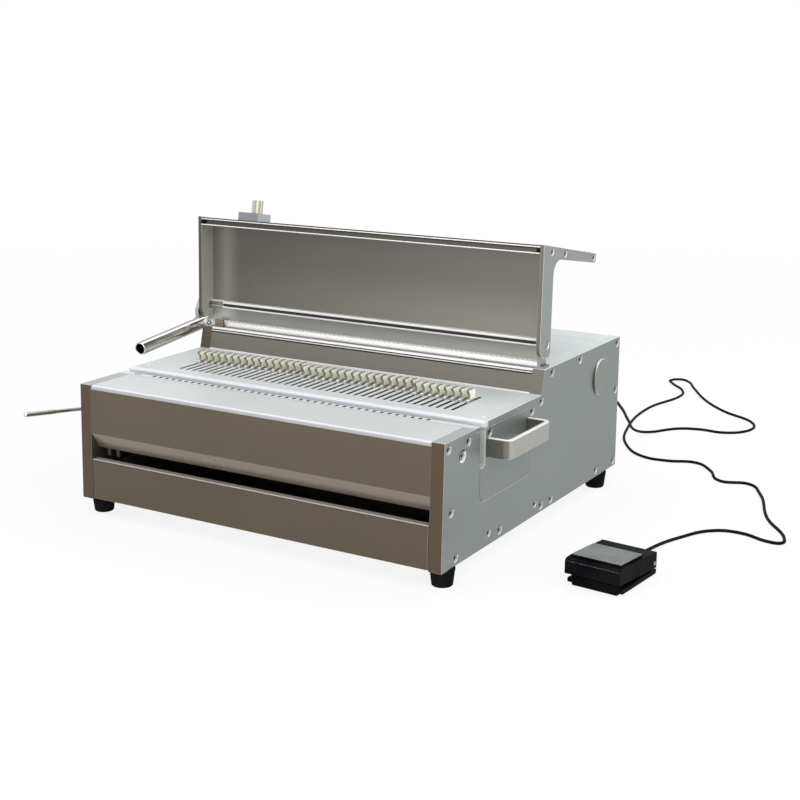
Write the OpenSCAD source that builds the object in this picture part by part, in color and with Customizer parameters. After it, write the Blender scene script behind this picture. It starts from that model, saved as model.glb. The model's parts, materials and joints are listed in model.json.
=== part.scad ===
// Electric die punching machine with comb opener, swing lid, chip drawer and foot pedal.
// Millimetres, +Z up, +X to the operator's right, +Y to the back.
// Frame origin: on the floor, under the centre of the machine's footprint.

/* [Body] */
// Overall width across the two side plates
body_w = 428; // [410:1:460]
// Depth of the side plates from front edge to back edge
body_d = 394; // [392:1:430]
// Thickness of each side plate
plate_t = 13.5; // [12.5:0.5:15]
// Height of the rubber feet
foot_h = 18; // [12:1:30]
// How far the front face leans back over its height
front_lean = 5; // [2:0.5:8]

/* [Paper slot] */
// Width of the paper slot between guide bar and deck nose
slot_w = 9; // [8:0.5:10]
// Width of the throat in the die, where the sheets stand
throat_w = 5.5; // [4.5:0.1:5.9]
// Side of the square punch pins
pin_side = 4; // [3:0.1:4.4]

/* [Comb opener] */
// Distance between hook centres
hook_pitch = 8.47; // [8.2:0.01:8.6]
// Thickness of a hook's plate
hook_w = 3; // [2:0.1:3.6]
// Height of a hook's head
hook_h = 13.5; // [11:0.5:15]

/* [Lever] */
// Outside diameter of the hand lever tube
lever_d = 13; // [12:0.5:13.5]
// Length of the hand lever in front of its shaft
lever_len = 108.5; // [90:0.5:140]
// Length of the die clamp rod from its hub's axis
clamp_len = 168; // [120:1:180]

/* [Lid] */
// Lean of the open lid's back panel
lid_lean = 2.4; // [0:0.1:5]
// Height of the lid panel above the hinge
lid_h = 100.5; // [90:0.5:115]
// Length of the lid's shelf arm
arm_len = 127.8; // [105:0.1:140]
// Thickness of the lid's cheek plates
cheek_t = 4.5; // [4:0.5:5]

/* [Handle and drawer] */
// How far the die handle stands out from the side
handle_out = 25; // [22:0.5:40]
// Height of the handle's flat bar
handle_h = 18.5; // [14:0.5:20]
// Depth of the chip tray
tray_d = 175; // [120:1:180]

/* [Pedal] */
// Width of the pedal's treadle
treadle_w = 56; // [54:0.5:64]
// Depth of the pedal's base
pedal_d = 68; // [64:0.5:72]
// Diameter of the pedal cord
cord_d = 3.4; // [2.6:0.1:3.8]

/* [Hidden] */
$fn = 32;

// Heights are measured from the underside of the side plates.
xo = body_w / 2;
xi = xo - plate_t;
front_h = 120;
deck_h = 122;
step_h = 24;
rear_h = deck_h + step_h;
sheet = 3;

// Stations along Y are measured from the front edge.
bar_y = 63;
slot_y = bar_y + 9;
nose_y = slot_y + slot_w;
nose_d = 5;
deck_y = nose_y + nose_d;
riser_y = 199;
riser_top = riser_y + 6.5;
hinge_y = riser_top + 7.5;
shaft_y = riser_top + 13.5;
trough_y = shaft_y + 11;
crank_y = trough_y + 45;

// Die cassette and its opening in the right side plate
open_y0 = slot_y - 1;
die_d = 103;
open_y1 = open_y0 + die_d;
open_z0 = 46.5;
open_z1 = deck_h - 6.5;
throat_y1 = nose_y - 0.5;
throat_y0 = throat_y1 - throat_w;
throat_z = deck_h - 44;
die_top = deck_h - 23;
pin_z = throat_z + 7;
pin_tip = throat_y1 + 0.5;
hole_gap = 0.15;
post_x = xi - 22.5;
n_pins = 2 * floor((post_x - 8) / hook_pitch + 0.5);
pin_len = 39;
pin_bar_y = pin_tip + pin_len;

// Comb opener
hook_y = pin_bar_y + 16;
hook_d = 13;
deck_t = 6;
deck_slot = 4.2;
carr_t = 5;
carr_z1 = deck_h - deck_t - 3;
carr_z0 = carr_z1 - carr_t;
shaft_z = rear_h;
shaft_r = 6.5;
lever_x = -(xo + 12);
lever_tilt = 5.74;
drive_tilt = 21.92;
drive_len = (shaft_z - carr_z0 - 3.21) / cos(drive_tilt);
drive_x = xi - 50.5;
drive_tip_y = shaft_y + drive_len * sin(drive_tilt);
drive_tip_z = shaft_z - drive_len * cos(drive_tilt);

// Crank and press beam
crank_z = pin_z - 3;
crank_e = 4.5;
ecc_r = 18;
arm_x = xi - 90.5;
bearing_x = xi - 40;
beam_z0 = crank_z - 14;
beam_z1 = crank_z + 14;
box_w = 42;
motor_r = 34;
motor_len = 98;
motor_cap = 12;

// Die clamp lever
clamp_y = 100;
clamp_z = 77.7;
clamp_tilt = 8.4;

// Back panel: mains inlet, switch and cord gland
inlet_x = -(xi - 50.5);
switch_x = -(xi - 98.5);
socket_z = 50;
gland_x = xi - 18.5;
gland_z = 70;

// Lid frame: u runs back and v up from the hinge axis, before the lean
hinge_z = rear_h + 23.5;
leg_u0 = -16.2;
leg_u1 = 7.5;
arm_dip = 8.1;
arm_h = 12.5;
fillet_r = 14;
cheek_x1 = xo - 2;
cheek_x0 = cheek_x1 - cheek_t;
ear_t = 3;
stop_x = -(cheek_x0 - 41.5);
stop_s = 42;

// Pedal frame: centred on its base, turned on the floor
pedal_x = 331;
pedal_y = -85;
pedal_turn = -5;
base_w = 46;

// Side screws, as [y, z] on the outer faces
screws_both = [
  [12, front_h - 7], [48.5, front_h - 8], [37.5, front_h - 19], [178.5, deck_h - 11.5],
  [198.5, deck_h - 6], [body_d - 104.5, rear_h - 5.5], [body_d - 7, rear_h - 6],
  [body_d - 7, 88], [body_d - 7, 6.5], [body_d - 54.5, 7.5], [226, 7], [203, 7], [189, 12],
  [113, 8], [90.5, 12], [17.5, 53], [26.5, 7.5]
];
screws_right = concat(screws_both, [[222.5, rear_h - 5.5]]);
screw_r = 3.6;

// Route of the pedal cord, as [x, y, z] on the floor frame, from gland to pedal
cord_route = [
  [182, 203, 88], [187, 212, 87.5], [194, 232, 82], [192, 262, 66], [179, 318, 36], [171, 366, 10],
  [178, 392, 2.9], [203, 430, 1.9], [226, 439.5, 1.9], [258, 441, 1.9], [280, 464, 1.9], [276, 500, 1.9],
  [222, 542, 1.9], [186, 580, 1.9], [145, 642, 1.9], [124, 675, 1.9], [112, 681, 1.9], [101, 669, 1.9],
  [108, 655, 1.9], [136, 621, 1.9], [145, 594, 1.9], [132, 508, 1.9], [146, 400, 1.9], [176, 325, 1.9],
  [212, 291, 1.9], [240, 290, 1.9], [272, 300, 1.9], [296, 280, 1.9], [320, 247, 1.9], [350, 253, 1.9],
  [370, 228, 1.9], [403, 150, 1.9], [437, 96, 1.9], [437, 84.5, 1.9], [426.5, 82, 1.9], [394, 92.5, 1.9],
  [370, 87, 1.9], [346, 48, 1.9], [334, -10, 4.2], [333.5, -50.5, 6]
];

function lean_y(z) = front_lean * z / front_h;
function arc(cx, cy, r, a0, a1, n) =
  [for (i = [0:n]) [cx + r * cos(a0 + (a1 - a0) * i / n), cy + r * sin(a0 + (a1 - a0) * i / n)]];
function pin_x(i) = (i - (n_pins - 1) / 2) * hook_pitch;
function hook_dy(i) = i < 16 ? 10 * i / 15 : (i < 32 ? 8 * (i - 16) / 15 : 0);
function unit(v) = v / norm(v);

module machine() {
  translate([0, -body_d / 2, foot_h]) children();
}

module box(a, b) {
  translate(a) cube(b - a);
}

module prof(x0, x1) {
  translate([x0, 0, 0]) rotate([90, 0, 90]) linear_extrude(x1 - x0) children();
}

module cyl_x(x0, x1, y, z, r) {
  translate([x0, y, z]) rotate([0, 90, 0]) cylinder(h = x1 - x0, r = r);
}

module cyl_y(y0, y1, x, z, r) {
  translate([x, y0, z]) rotate([-90, 0, 0]) cylinder(h = y1 - y0, r = r);
}

module silver() {
  color([0.76, 0.77, 0.76]) children();
}

module steel() {
  color([0.62, 0.63, 0.65]) children();
}

module black() {
  color([0.09, 0.09, 0.1]) children();
}

// Side plates

module plate_outline() {
  difference() {
    polygon([
      [0, 0], [lean_y(front_h), front_h], [bar_y, front_h], [bar_y, front_h - 4],
      [slot_y, front_h - 4], [slot_y, throat_z + 3], [slot_y + 3, throat_z],
      [nose_y - 3, throat_z], [nose_y, throat_z + 3], [nose_y, deck_h - nose_d],
      [deck_y, deck_h - nose_d], [deck_y, deck_h], [riser_y, deck_h], [riser_top, rear_h],
      [body_d, rear_h], [body_d, 0]
    ]);
    children();
  }
}

module screw_pockets(list, side) {
  for (p = list) {
    translate([side > 0 ? xo - 4.5 : -xo - 1, p[0], p[1]])
      rotate([0, 90, 0]) cylinder(h = 5.5, r = screw_r, $fn = 10);
  }
}

module side_plate_left() {
  silver() machine() difference() {
    prof(-xo, -xi) plate_outline()
      translate([shaft_y - 11, shaft_z - 12]) square([22, 13]);
    cyl_x(-xo - 1, -xi + 1, clamp_y, clamp_z, 4.05);
    screw_pockets(screws_both, -1);
  }
}

module die_window() {
  polygon(concat(
    [[open_y0, open_z1], [open_y0, open_z0 + 8]],
    arc(open_y0 + 8, open_z0 + 8, 8, 180, 270, 5),
    arc(open_y1 - 3, open_z0 + 3, 3, 270, 360, 3),
    [[open_y1, open_z1]]
  ));
}

module side_plate_right() {
  silver() machine() difference() {
    prof(xi, xo) plate_outline() die_window();
    box([xi - 1, slot_y, open_z1 - 1], [xo + 1, nose_y, rear_h]);
    cyl_x(xi - 1, xi + 3.4, shaft_y, shaft_z, shaft_r + 0.3);
    screw_pockets(screws_right, 1);
  }
}

module plate_screws() {
  steel() machine() {
    for (p = screws_right) {
      translate([xo - 4.5, p[0], p[1]]) rotate([0, 90, 0]) cylinder(h = 3.8, r = screw_r, $fn = 10);
    }
    for (p = screws_both) {
      translate([-xo + 0.7, p[0], p[1]]) rotate([0, 90, 0]) cylinder(h = 3.8, r = screw_r, $fn = 10);
    }
  }
}

module blanking_cap() {
  silver() machine() {
    cyl_x(xo, xo + 2.4, body_d - 50.2, rear_h - 35.2, 20);
  }
}

// Fixed shell

module base_plate() {
  silver() machine() {
    box([-xi, 12, 0], [xi, body_d - sheet, sheet]);
  }
}

module feet() {
  black() machine() {
    for (x = [-(xo - 10), xo - 10]) {
      for (y = [20, body_d - 32]) {
        translate([x, y, -foot_h]) cylinder(h = foot_h, r1 = 10, r2 = 12);
      }
    }
  }
}

module front_cover() {
  edge = front_h - 4;
  silver() machine() prof(-xi, xi) polygon([
    [13, 53], [lean_y(70), 70], [lean_y(edge), edge], [lean_y(edge) + 1, front_h - 1.2],
    [lean_y(edge) + 3.2, front_h], [bar_y, front_h], [bar_y, front_h - 3],
    [lean_y(edge) + 4, front_h - 3], [lean_y(70) + 3, 71], [15.6, 54.6]
  ]);
}

module slot_bar() {
  silver() machine() difference() {
    box([-xo, bar_y, front_h - 4], [xo, slot_y, front_h]);
    for (i = [0:n_pins - 1]) {
      x = pin_x(i) - 4.5;
      box([x - 1.6, slot_y - 5.4, front_h - 0.6], [x + 1.6, slot_y - 1.6, front_h + 1]);
    }
    box([-xi + 3.5, slot_y - 4.5, front_h - 0.6], [-xi + 12.5, slot_y - 2.5, front_h + 1]);
  }
}

module deck_nose() {
  silver() machine() prof(-xo, xo) polygon(concat(
    [[deck_y, deck_h - nose_d], [deck_y, deck_h]],
    arc(nose_y + nose_d / 2, deck_h - nose_d / 2, nose_d / 2, 90, 270, 8)
  ));
}

module deck_plate() {
  w = deck_slot / 2;
  silver() machine() difference() {
    box([-xi, deck_y, deck_h - deck_t], [xi, riser_y, deck_h]);
    for (i = [0:n_pins - 1]) {
      box([pin_x(i) - w, hook_y - 32, deck_h - deck_t - 1], [pin_x(i) + w, hook_y + 26, deck_h + 1]);
    }
  }
}

module deck_screws() {
  steel() machine() {
    for (p = [[-7 * hook_pitch, hook_y - 23], [9 * hook_pitch, hook_y - 24],
              [-(xo - 10.5), deck_y + 12], [xo - 10.5, deck_y + 12]]) {
      translate([p[0], p[1], deck_h]) cylinder(h = 0.6, r = 2);
    }
  }
}

module riser_panel() {
  silver() machine() prof(-xi, xi) polygon([
    [riser_y, deck_h - deck_t], [riser_y, deck_h], [riser_top - 1.5, rear_h - 5.6],
    [riser_top - 0.6, rear_h - 5.4], [riser_top - 0.5, rear_h - 4.4], [riser_top - 1.3, rear_h - 4.2],
    [riser_top - 0.6, rear_h - 1.4], [riser_top + 0.6, rear_h], [riser_top + 3.5, rear_h],
    [riser_top + 3.5, rear_h - 3], [riser_top + 2, rear_h - 3], [riser_y + 3.2, deck_h],
    [riser_y + 3.2, deck_h - deck_t]
  ]);
}

module rear_cover() {
  silver() machine() difference() {
    union() {
      box([-xi, trough_y, rear_h - 3], [xi, body_d, rear_h]);
      box([-xi, trough_y, rear_h - 14], [xi, trough_y + 2, rear_h - 3]);
    }
    box([-xi - 1, body_d - 33, rear_h - 0.7], [xi + 1, body_d - 31.8, rear_h + 1]);
  }
}

module rear_panel() {
  silver() machine() difference() {
    box([-xi, body_d - sheet, 0], [xi, body_d, rear_h - 3]);
    box([inlet_x - 14, body_d - 5, socket_z - 10.5], [inlet_x + 14, body_d + 1, socket_z + 10.5]);
    box([switch_x - 9, body_d - 5, socket_z - 11], [switch_x + 9, body_d + 1, socket_z + 11]);
    cyl_y(body_d - 5, body_d + 1, gland_x, gland_z, 6);
  }
}

module power_inlet() {
  black() machine() translate([inlet_x, body_d, socket_z]) difference() {
    union() {
      box([-14, -22, -10.5], [14, 0, 10.5]);
      box([-18, 0, -14], [18, 2, 14]);
    }
    difference() {
      box([-11.5, -17, -8], [11.5, 3, 8]);
      for (p = [[-7, -2], [0, 2], [7, -2]]) {
        box([p[0] - 1, -18, p[1] - 2], [p[0] + 1, -4, p[1] + 2]);
      }
    }
  }
}

module switch_frame() {
  black() machine() translate([switch_x, body_d, socket_z]) difference() {
    union() {
      box([-9, -14, -11], [9, 0, 11]);
      box([-12, 0, -14], [12, 2, 14]);
    }
    box([-6.5, -11, -9], [6.5, 3, 9]);
    cyl_x(-8.2, 8.2, -3, 0, 1.6);
  }
}

module switch_rocker() {
  color([0.16, 0.16, 0.17]) machine() translate([switch_x, body_d - 3, socket_z]) {
    rotate([-8, 0, 0]) prof(-6, 6)
      polygon([[-4, -3], [-4, 3], [3.4, 7.6], [5.2, 7.4], [4, 0], [5.2, -7.4], [3.4, -7.6]]);
    cyl_x(-7.9, 7.9, 0, 0, 1.5);
  }
}

module cord_gland() {
  black() machine() {
    cyl_y(body_d - sheet, body_d, gland_x, gland_z, 6);
    cyl_y(body_d, body_d + 6, gland_x, gland_z, 8.5);
  }
}

// Fixed works

module die_rails() {
  steel() machine() {
    box([-xi, open_y0 + 7, open_z0 - 8.5], [xi, open_y0 + 21, open_z0]);
    box([-xi, open_y1 - 24, open_z0 - 8.5], [xi, open_y1 - 6, open_z0]);
  }
}

module carriage_rails() {
  steel() machine() {
    for (s = [-1, 1]) {
      x = s > 0 ? xi - 16 : -xi;
      box([x, hook_y - 36, carr_z0 - 6.5], [x + 16, trough_y - 2, carr_z0 - 0.3]);
    }
  }
}

module beam_guides() {
  steel() machine() {
    for (s = [-1, 1]) {
      x = s > 0 ? xi - 22 : -xi;
      box([x, open_y1 + 4, beam_z0 - 10], [x + 22, open_y1 + 40, beam_z0 - 0.3]);
      box([x, open_y1 + 4, beam_z1 + 0.3], [x + 22, open_y1 + 40, carr_z0 - 6.8]);
    }
  }
}

module crank_bearings() {
  color([0.36, 0.37, 0.38]) machine() for (s = [-1, 1]) {
    x = s * bearing_x;
    difference() {
      box([x - 7, crank_y - 20, sheet], [x + 7, crank_y + 20, crank_z + 18]);
      cyl_x(x - 8, x + 8, crank_y, crank_z, 8.05);
    }
  }
}

module gearbox() {
  color([0.36, 0.37, 0.38]) machine() difference() {
    box([-box_w, crank_y - 28, sheet], [box_w, body_d - 14, crank_z + 36]);
    cyl_x(-box_w - 1, box_w + 1, crank_y, crank_z, 8.6);
  }
}

module motor() {
  y = body_d - motor_r - 10;
  z = sheet + motor_r + 5;
  color([0.3, 0.31, 0.33]) machine() {
    cyl_x(box_w, box_w + motor_len, y, z, motor_r);
    cyl_x(box_w + motor_len, box_w + motor_len + motor_cap, y, z, motor_r - 8);
  }
}

module shaft_bearings() {
  steel() machine() for (s = [-1, 1]) {
    x = s > 0 ? xi - 9 : -xi;
    difference() {
      box([x, shaft_y - 9.5, shaft_z - 20], [x + 9, shaft_y + 9.5, shaft_z - 0.5]);
      cyl_x(x - 1, x + 10, shaft_y, shaft_z, shaft_r + 0.05);
    }
  }
}

module hinge_brackets() {
  steel() machine() difference() {
    union() {
      prof(-xo - 4.6, -xo) polygon(concat(
        [[hinge_y - 15, hinge_z - 14.5], [hinge_y - 15, hinge_z - 3.5]],
        arc(hinge_y, hinge_z, 11, 160, 60, 6),
        [[hinge_y + 26, hinge_z - 8], [hinge_y + 26, rear_h - 14], [hinge_y + 14, rear_h - 14],
         [hinge_y + 14, hinge_z - 14.5]]
      ));
      prof(cheek_x0 - ear_t - 0.3, cheek_x0 - 0.3) polygon(concat(
        [[hinge_y - 5.5, rear_h]], arc(hinge_y, hinge_z, 6.5, 190, -10, 8), [[hinge_y + 9, rear_h]]
      ));
      box([cheek_x0 - 0.3, hinge_y - 5.5, rear_h], [cheek_x1 - 1.5, hinge_y + 9, rear_h + 2.5]);
    }
    cyl_x(-xo - 6, xo + 6, hinge_y, hinge_z, 4);
  }
}

module hinge_pins() {
  steel() machine() {
    cyl_x(-xo - 4.6, -cheek_x0 - 0.3, hinge_y, hinge_z, 4);
    cyl_x(-xo - 6.1, -xo - 4.6, hinge_y, hinge_z, 6);
    cyl_x(cheek_x0 - ear_t - 0.3, cheek_x1 - 0.8, hinge_y, hinge_z, 4);
  }
}

// Chip drawer

module drawer_front() {
  silver() machine() prof(-xi + 0.7, xi - 0.7)
    polygon([[lean_y(1), 1], [lean_y(43), 43], [10, 43], [10, 1]]);
}

module chip_tray() {
  steel() machine() difference() {
    box([-xi + 10, 10, 3.5], [xi - 10, 10 + tray_d, 36]);
    box([-xi + 12, 12, 5.5], [xi - 12, 8 + tray_d, 37]);
  }
}

// Die cassette

module die_block() {
  steel() machine() difference() {
    union() {
      box([-xi + 5.5, open_y0 + 9, open_z0 + 0.5], [xi + 0.4, open_y1 - 4, open_z0 + 6.5]);
      box([-xi + 5.5, open_y0 + 0.5, open_z0 + 6.5], [xi + 0.4, throat_y1 + 8.5, die_top]);
      box([-xi + 5.5, throat_y1 + 8.5, open_z0 + 6.5], [-xi + 12.5, open_y1 - 14, die_top]);
      box([xi - 7, throat_y1 + 8.5, open_z0 + 6.5], [xi + 0.4, open_y1 - 14, die_top]);
      for (x = [-post_x, post_x]) {
        cyl_y(throat_y1 + 8.5, open_y1 - 16, x, pin_z, 4);
      }
    }
    box([-xi, throat_y0, throat_z], [xi + 1, throat_y1, die_top + 1]);
    for (i = [0:n_pins - 1]) {
      w = pin_side / 2 + hole_gap;
      box([pin_x(i) - w, open_y0 - 1, pin_z - w], [pin_x(i) + w, throat_y1 + 9.5, pin_z + w]);
    }
  }
}

module die_end_plate() {
  color([0.7, 0.69, 0.66]) machine() difference() {
    prof(xi + 0.4, xo) polygon(concat(
      arc(open_y0 + 8.3, open_z0 + 8.3, 8, 180, 270, 5),
      arc(open_y1 - 3.3, open_z0 + 3.3, 3, 270, 360, 3),
      [[open_y1 - 0.3, open_z1 - 0.3], [nose_y, open_z1 - 0.3], [nose_y, throat_z + 3],
       [nose_y - 3, throat_z], [slot_y + 2, throat_z], [open_y0 + 0.3, throat_z + 2]]
    ));
    translate([xo - 4.5, open_y0 + 19, open_z1 - 4.9])
      rotate([0, 90, 0]) cylinder(h = 5.5, r = screw_r, $fn = 10);
  }
}

module die_screw() {
  steel() machine() translate([xo - 4.5, open_y0 + 19, open_z1 - 4.9])
    rotate([0, 90, 0]) cylinder(h = 3.8, r = screw_r, $fn = 10);
}

module die_handle() {
  x1 = xo + handle_out;
  y0 = open_y0 + 13;
  y1 = open_y1 - 2;
  silver() machine() translate([0, 0, open_z1 - 9 - handle_h]) linear_extrude(handle_h) polygon(concat(
    [[xo, y0]], arc(x1 - 9, y0 + 9, 9, 270, 360, 5), arc(x1 - 9, y1 - 9, 9, 0, 90, 5),
    [[xo, y1], [xo, y1 - 5]], arc(x1 - 9, y1 - 9, 4, 90, 0, 4), arc(x1 - 9, y0 + 9, 4, 360, 270, 4),
    [[xo, y0 + 5]]
  ));
}

module pin_bar() {
  steel() machine() difference() {
    union() {
      box([-post_x - 8, pin_bar_y, pin_z - 13], [post_x + 8, pin_bar_y + 12, pin_z + 13]);
      box([-post_x + 10, pin_bar_y + 12, pin_z - 7], [post_x - 10, open_y1 - 0.6, pin_z + 7]);
    }
    for (x = [-post_x, post_x]) {
      cyl_y(pin_bar_y - 1, pin_bar_y + 13, x, pin_z, 4.08);
    }
  }
}

module punch_pins() {
  w = pin_side / 2;
  color([0.72, 0.73, 0.75]) machine() for (i = [0:n_pins - 1]) {
    box([pin_x(i) - w, pin_tip, pin_z - w], [pin_x(i) + w, pin_bar_y, pin_z + w]);
  }
}

// Press drive

module press_beam() {
  color([0.42, 0.43, 0.45]) machine() {
    box([-post_x - 7, open_y1, beam_z0], [post_x + 7, open_y1 + 18, beam_z1]);
    for (s = [-1, 1]) {
      x = s * arm_x;
      box([x - 7, open_y1 + 18, crank_z - 12], [x + 7, crank_y - 21, crank_z + 12]);
      difference() {
        box([x - 7, crank_y - 21, crank_z - 32], [x + 7, crank_y + 32, crank_z + 32]);
        box([x - 8, crank_y + crank_e - ecc_r - 1.6, crank_z - ecc_r - crank_e - 1],
            [x + 8, crank_y + crank_e + ecc_r + 1.6, crank_z + ecc_r + crank_e + 1]);
      }
    }
  }
}

module crank_shaft() {
  steel() machine() {
    cyl_x(-bearing_x - 7, bearing_x + 7, crank_y, crank_z, 8);
    for (s = [-1, 1]) {
      cyl_x(s * arm_x - 6, s * arm_x + 6, crank_y + crank_e, crank_z, ecc_r);
    }
  }
}

// Comb opener

module along_lever(r, back, front) {
  translate([lever_x, shaft_y, shaft_z]) rotate([lever_tilt, 0, 0])
    rotate([90, 0, 0]) translate([0, 0, -back]) cylinder(h = back + front, r = r);
}

module lever_tube() {
  color([0.8, 0.81, 0.83]) machine() difference() {
    along_lever(lever_d / 2, 17.5, lever_len);
    along_lever(lever_d / 2 - 1.5, 20, lever_len + 5);
    cyl_x(lever_x - 10, lever_x + 10, shaft_y, shaft_z, 3);
  }
}

module lever_shaft() {
  color([0.8, 0.81, 0.83]) machine() difference() {
    cyl_x(lever_x, xi + 3, shaft_y, shaft_z, shaft_r);
    along_lever(lever_d / 2, 40, 60);
  }
}

module lever_bolt() {
  r = lever_d / 2;
  steel() machine() {
    cyl_x(lever_x - r - 4, lever_x - r, shaft_y, shaft_z, 5);
    cyl_x(lever_x - r, lever_x + sqrt(r * r - 9) - 0.1, shaft_y, shaft_z, 3);
  }
}

module shaft_collar() {
  silver() machine() difference() {
    cyl_x(-xo + 0.7, -cheek_x0 - 0.3, shaft_y, shaft_z, shaft_r + 1.1);
    cyl_x(-xo, -xi, shaft_y, shaft_z, shaft_r);
  }
}

module drive_arms() {
  steel() machine() for (s = [-1, 1]) {
    difference() {
      union() {
        cyl_x(s * drive_x - 4, s * drive_x + 4, drive_tip_y, drive_tip_z, 3.4);
        translate([s * drive_x, shaft_y, shaft_z]) rotate([drive_tilt, 0, 0])
          translate([-4, -3, -drive_len]) cube([8, 6, drive_len]);
      }
      cyl_x(s * drive_x - 5, s * drive_x + 5, shaft_y, shaft_z, shaft_r);
    }
  }
}

module hook_carriage() {
  steel() machine() difference() {
    box([-xi + 10.5, hook_y - 8, carr_z0], [xi - 10.5, drive_tip_y + 7, carr_z1]);
    for (s = [-1, 1]) {
      box([s * drive_x - 5.5, drive_tip_y - 4.1, carr_z0 - 1],
          [s * drive_x + 5.5, drive_tip_y + 4.1, carr_z1 + 1]);
    }
  }
}

module hook(i) {
  z0 = deck_h - 1.5;
  z1 = z0 + hook_h;
  m = z0 + hook_h / 2;
  d = hook_d;
  translate([0, hook_y + hook_dy(i), 0]) prof(pin_x(i) - hook_w / 2, pin_x(i) + hook_w / 2) polygon([
    [3.5, carr_z1], [3.5, z0], [0.8, z0], [0, z0 + 0.9], [0.2, z0 + 2.6], [2, z0 + 3.6], [3, m - 1.6],
    [3, m + 1.4], [2.2, z1 - 3.6], [0.4, z1 - 2.6], [0.2, z1 - 0.8], [1, z1], [d - 1.5, z1],
    [d, z1 - 1.5], [d, z0], [d - 1, z0], [d - 1, carr_z1]
  ]);
}

module hook_segment(i0, i1) {
  y0 = hook_y + 3.5 + hook_dy(i0);
  y1 = hook_y + 3.5 + hook_dy(i1);
  color([0.86, 0.84, 0.76]) machine() {
    for (i = [i0:i1]) {
      hook(i);
    }
    translate([0, 0, carr_z1]) linear_extrude(2.2) polygon([
      [pin_x(i0) - hook_w / 2, y0], [pin_x(i1) + hook_w / 2, y1],
      [pin_x(i1) + hook_w / 2, y1 + hook_d - 4.5], [pin_x(i0) - hook_w / 2, y0 + hook_d - 4.5]
    ]);
  }
}

module hooks_left() {
  hook_segment(0, 15);
}

module hooks_centre() {
  hook_segment(16, 31);
}

module hooks_right() {
  hook_segment(32, n_pins - 1);
}

// Die clamp lever

module clamp_cam() {
  steel() machine() {
    cyl_x(-xo - 12, -xo - 4, clamp_y, clamp_z, 8);
    cyl_x(-xo - 4, -xi + 0.3, clamp_y, clamp_z, 4);
    cyl_x(-xi + 0.3, -xi + 4.9, clamp_y, clamp_z, 10);
  }
}

module along_clamp(r, from, to) {
  translate([-xo - 8, clamp_y, clamp_z]) rotate([-clamp_tilt, 0, 0])
    rotate([90, 0, 0]) translate([0, 0, from]) cylinder(h = to - from, r = r);
}

module clamp_rod() {
  color([0.8, 0.81, 0.83]) machine() difference() {
    union() {
      along_clamp(1.9, 6, clamp_len - 42);
      along_clamp(2.3, clamp_len - 42, clamp_len);
    }
    cyl_x(-xo - 14, -xo - 2, clamp_y, clamp_z, 8);
  }
}

// Lid

module lid() {
  machine() translate([0, hinge_y, hinge_z]) rotate([-lid_lean, 0, 0]) children();
}

module on_arm() {
  lid() translate([0, leg_u0, lid_h]) rotate([-arm_dip, 0, 0]) children();
}

module cheek_outline() {
  d = [cos(arm_dip), -sin(arm_dip)];
  n = [sin(arm_dip), cos(arm_dip)];
  t0 = [leg_u0, lid_h];
  t1 = t0 + arm_len * d;
  low = t0 - arm_h * n;
  cu = leg_u1 + fillet_r;
  cv = low[1] - (cu - low[0]) * tan(arm_dip) - fillet_r / cos(arm_dip);
  polygon(concat(
    [t0, t1 - 1.5 * n, t1 - (arm_h - 3) * n, t1 - 3 * d - (arm_h - 1) * n],
    arc(cu, cv, fillet_r, 90 - arm_dip, 180, 5),
    arc(leg_u1 - 6, -7, 6, 0, -90, 4),
    arc(leg_u0 + 12, -1, 12, -90, -180, 5)
  ));
}

module cheek(x0, x1) {
  difference() {
    lid() prof(x0, x1) cheek_outline();
    lid() cyl_x(x0 - 1, x1 + 1, 0, 0, 4.05);
    on_arm() for (s = [20, 51, arm_len - 5.5]) {
      translate([x0 < 0 ? x0 - 1 : x1 - 2.5, s, -6]) rotate([0, 90, 0]) cylinder(h = 3.5, r = 3, $fn = 10);
    }
  }
}

module lid_cheek_left() {
  silver() cheek(-cheek_x1, -cheek_x0);
}

module lid_cheek_right() {
  silver() cheek(cheek_x0, cheek_x1);
}

module lid_screws() {
  steel() on_arm() for (s = [20, 51, arm_len - 5.5]) {
    translate([cheek_x1 - 2.5, s, -6]) rotate([0, 90, 0]) cylinder(h = 2, r = 3, $fn = 10);
    translate([-cheek_x1 + 0.5, s, -6]) rotate([0, 90, 0]) cylinder(h = 2, r = 3, $fn = 10);
  }
}

module lid_panel() {
  u0 = leg_u1 - 3;
  u1 = leg_u1 - 0.2;
  silver() lid() difference() {
    union() {
      prof(-cheek_x0, cheek_x0) polygon([
        [u0, -16.8], [u0 + 0.4, -16.8], [u1, -15.2], [u1, lid_h - 9.6], [u0, lid_h - 9.6]
      ]);
      prof(-cheek_x0, cheek_x0) polygon([
        [u0, -2.2], [u0 - 5, -2.2], [u0 - 5.5, -1.7], [u0 - 5.5, -0.4], [u0 - 4, -0.4], [u0 - 4, 2.8],
        [u0 - 5.5, 2.8], [u0 - 5.5, 4.4], [u0 - 4.5, 5.4], [u0, 5.4]
      ]);
    }
    box([cheek_x0 - ear_t - 1, u0 - 8, -18], [cheek_x0 + 1, u1 + 2, 9]);
  }
}

module lid_shelf() {
  silver() on_arm() difference() {
    union() {
      box([-cheek_x0, 5, -6], [cheek_x0, arm_len - 3, -0.6]);
      box([-cheek_x0, 0.6, -9.2], [cheek_x0, 5, -0.6]);
    }
    box([-cheek_x0 - 1, -1, -7.9], [cheek_x0 + 1, 3.6, -3.6]);
    box([-cheek_x0 + 17.5, stop_s - 3.2, -4], [cheek_x0 - 17.5, stop_s + 3.2, 1]);
  }
}

module paper_stop() {
  color([0.66, 0.67, 0.7]) on_arm() translate([stop_x, stop_s, 0]) difference() {
    union() {
      box([-13.5, -12, -0.3], [13.5, 12, 9]);
      box([-13.5, -3, -3.7], [13.5, 3, -0.3]);
    }
    translate([6, -4, -1]) cylinder(h = 12, r = 3.05);
  }
}

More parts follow.
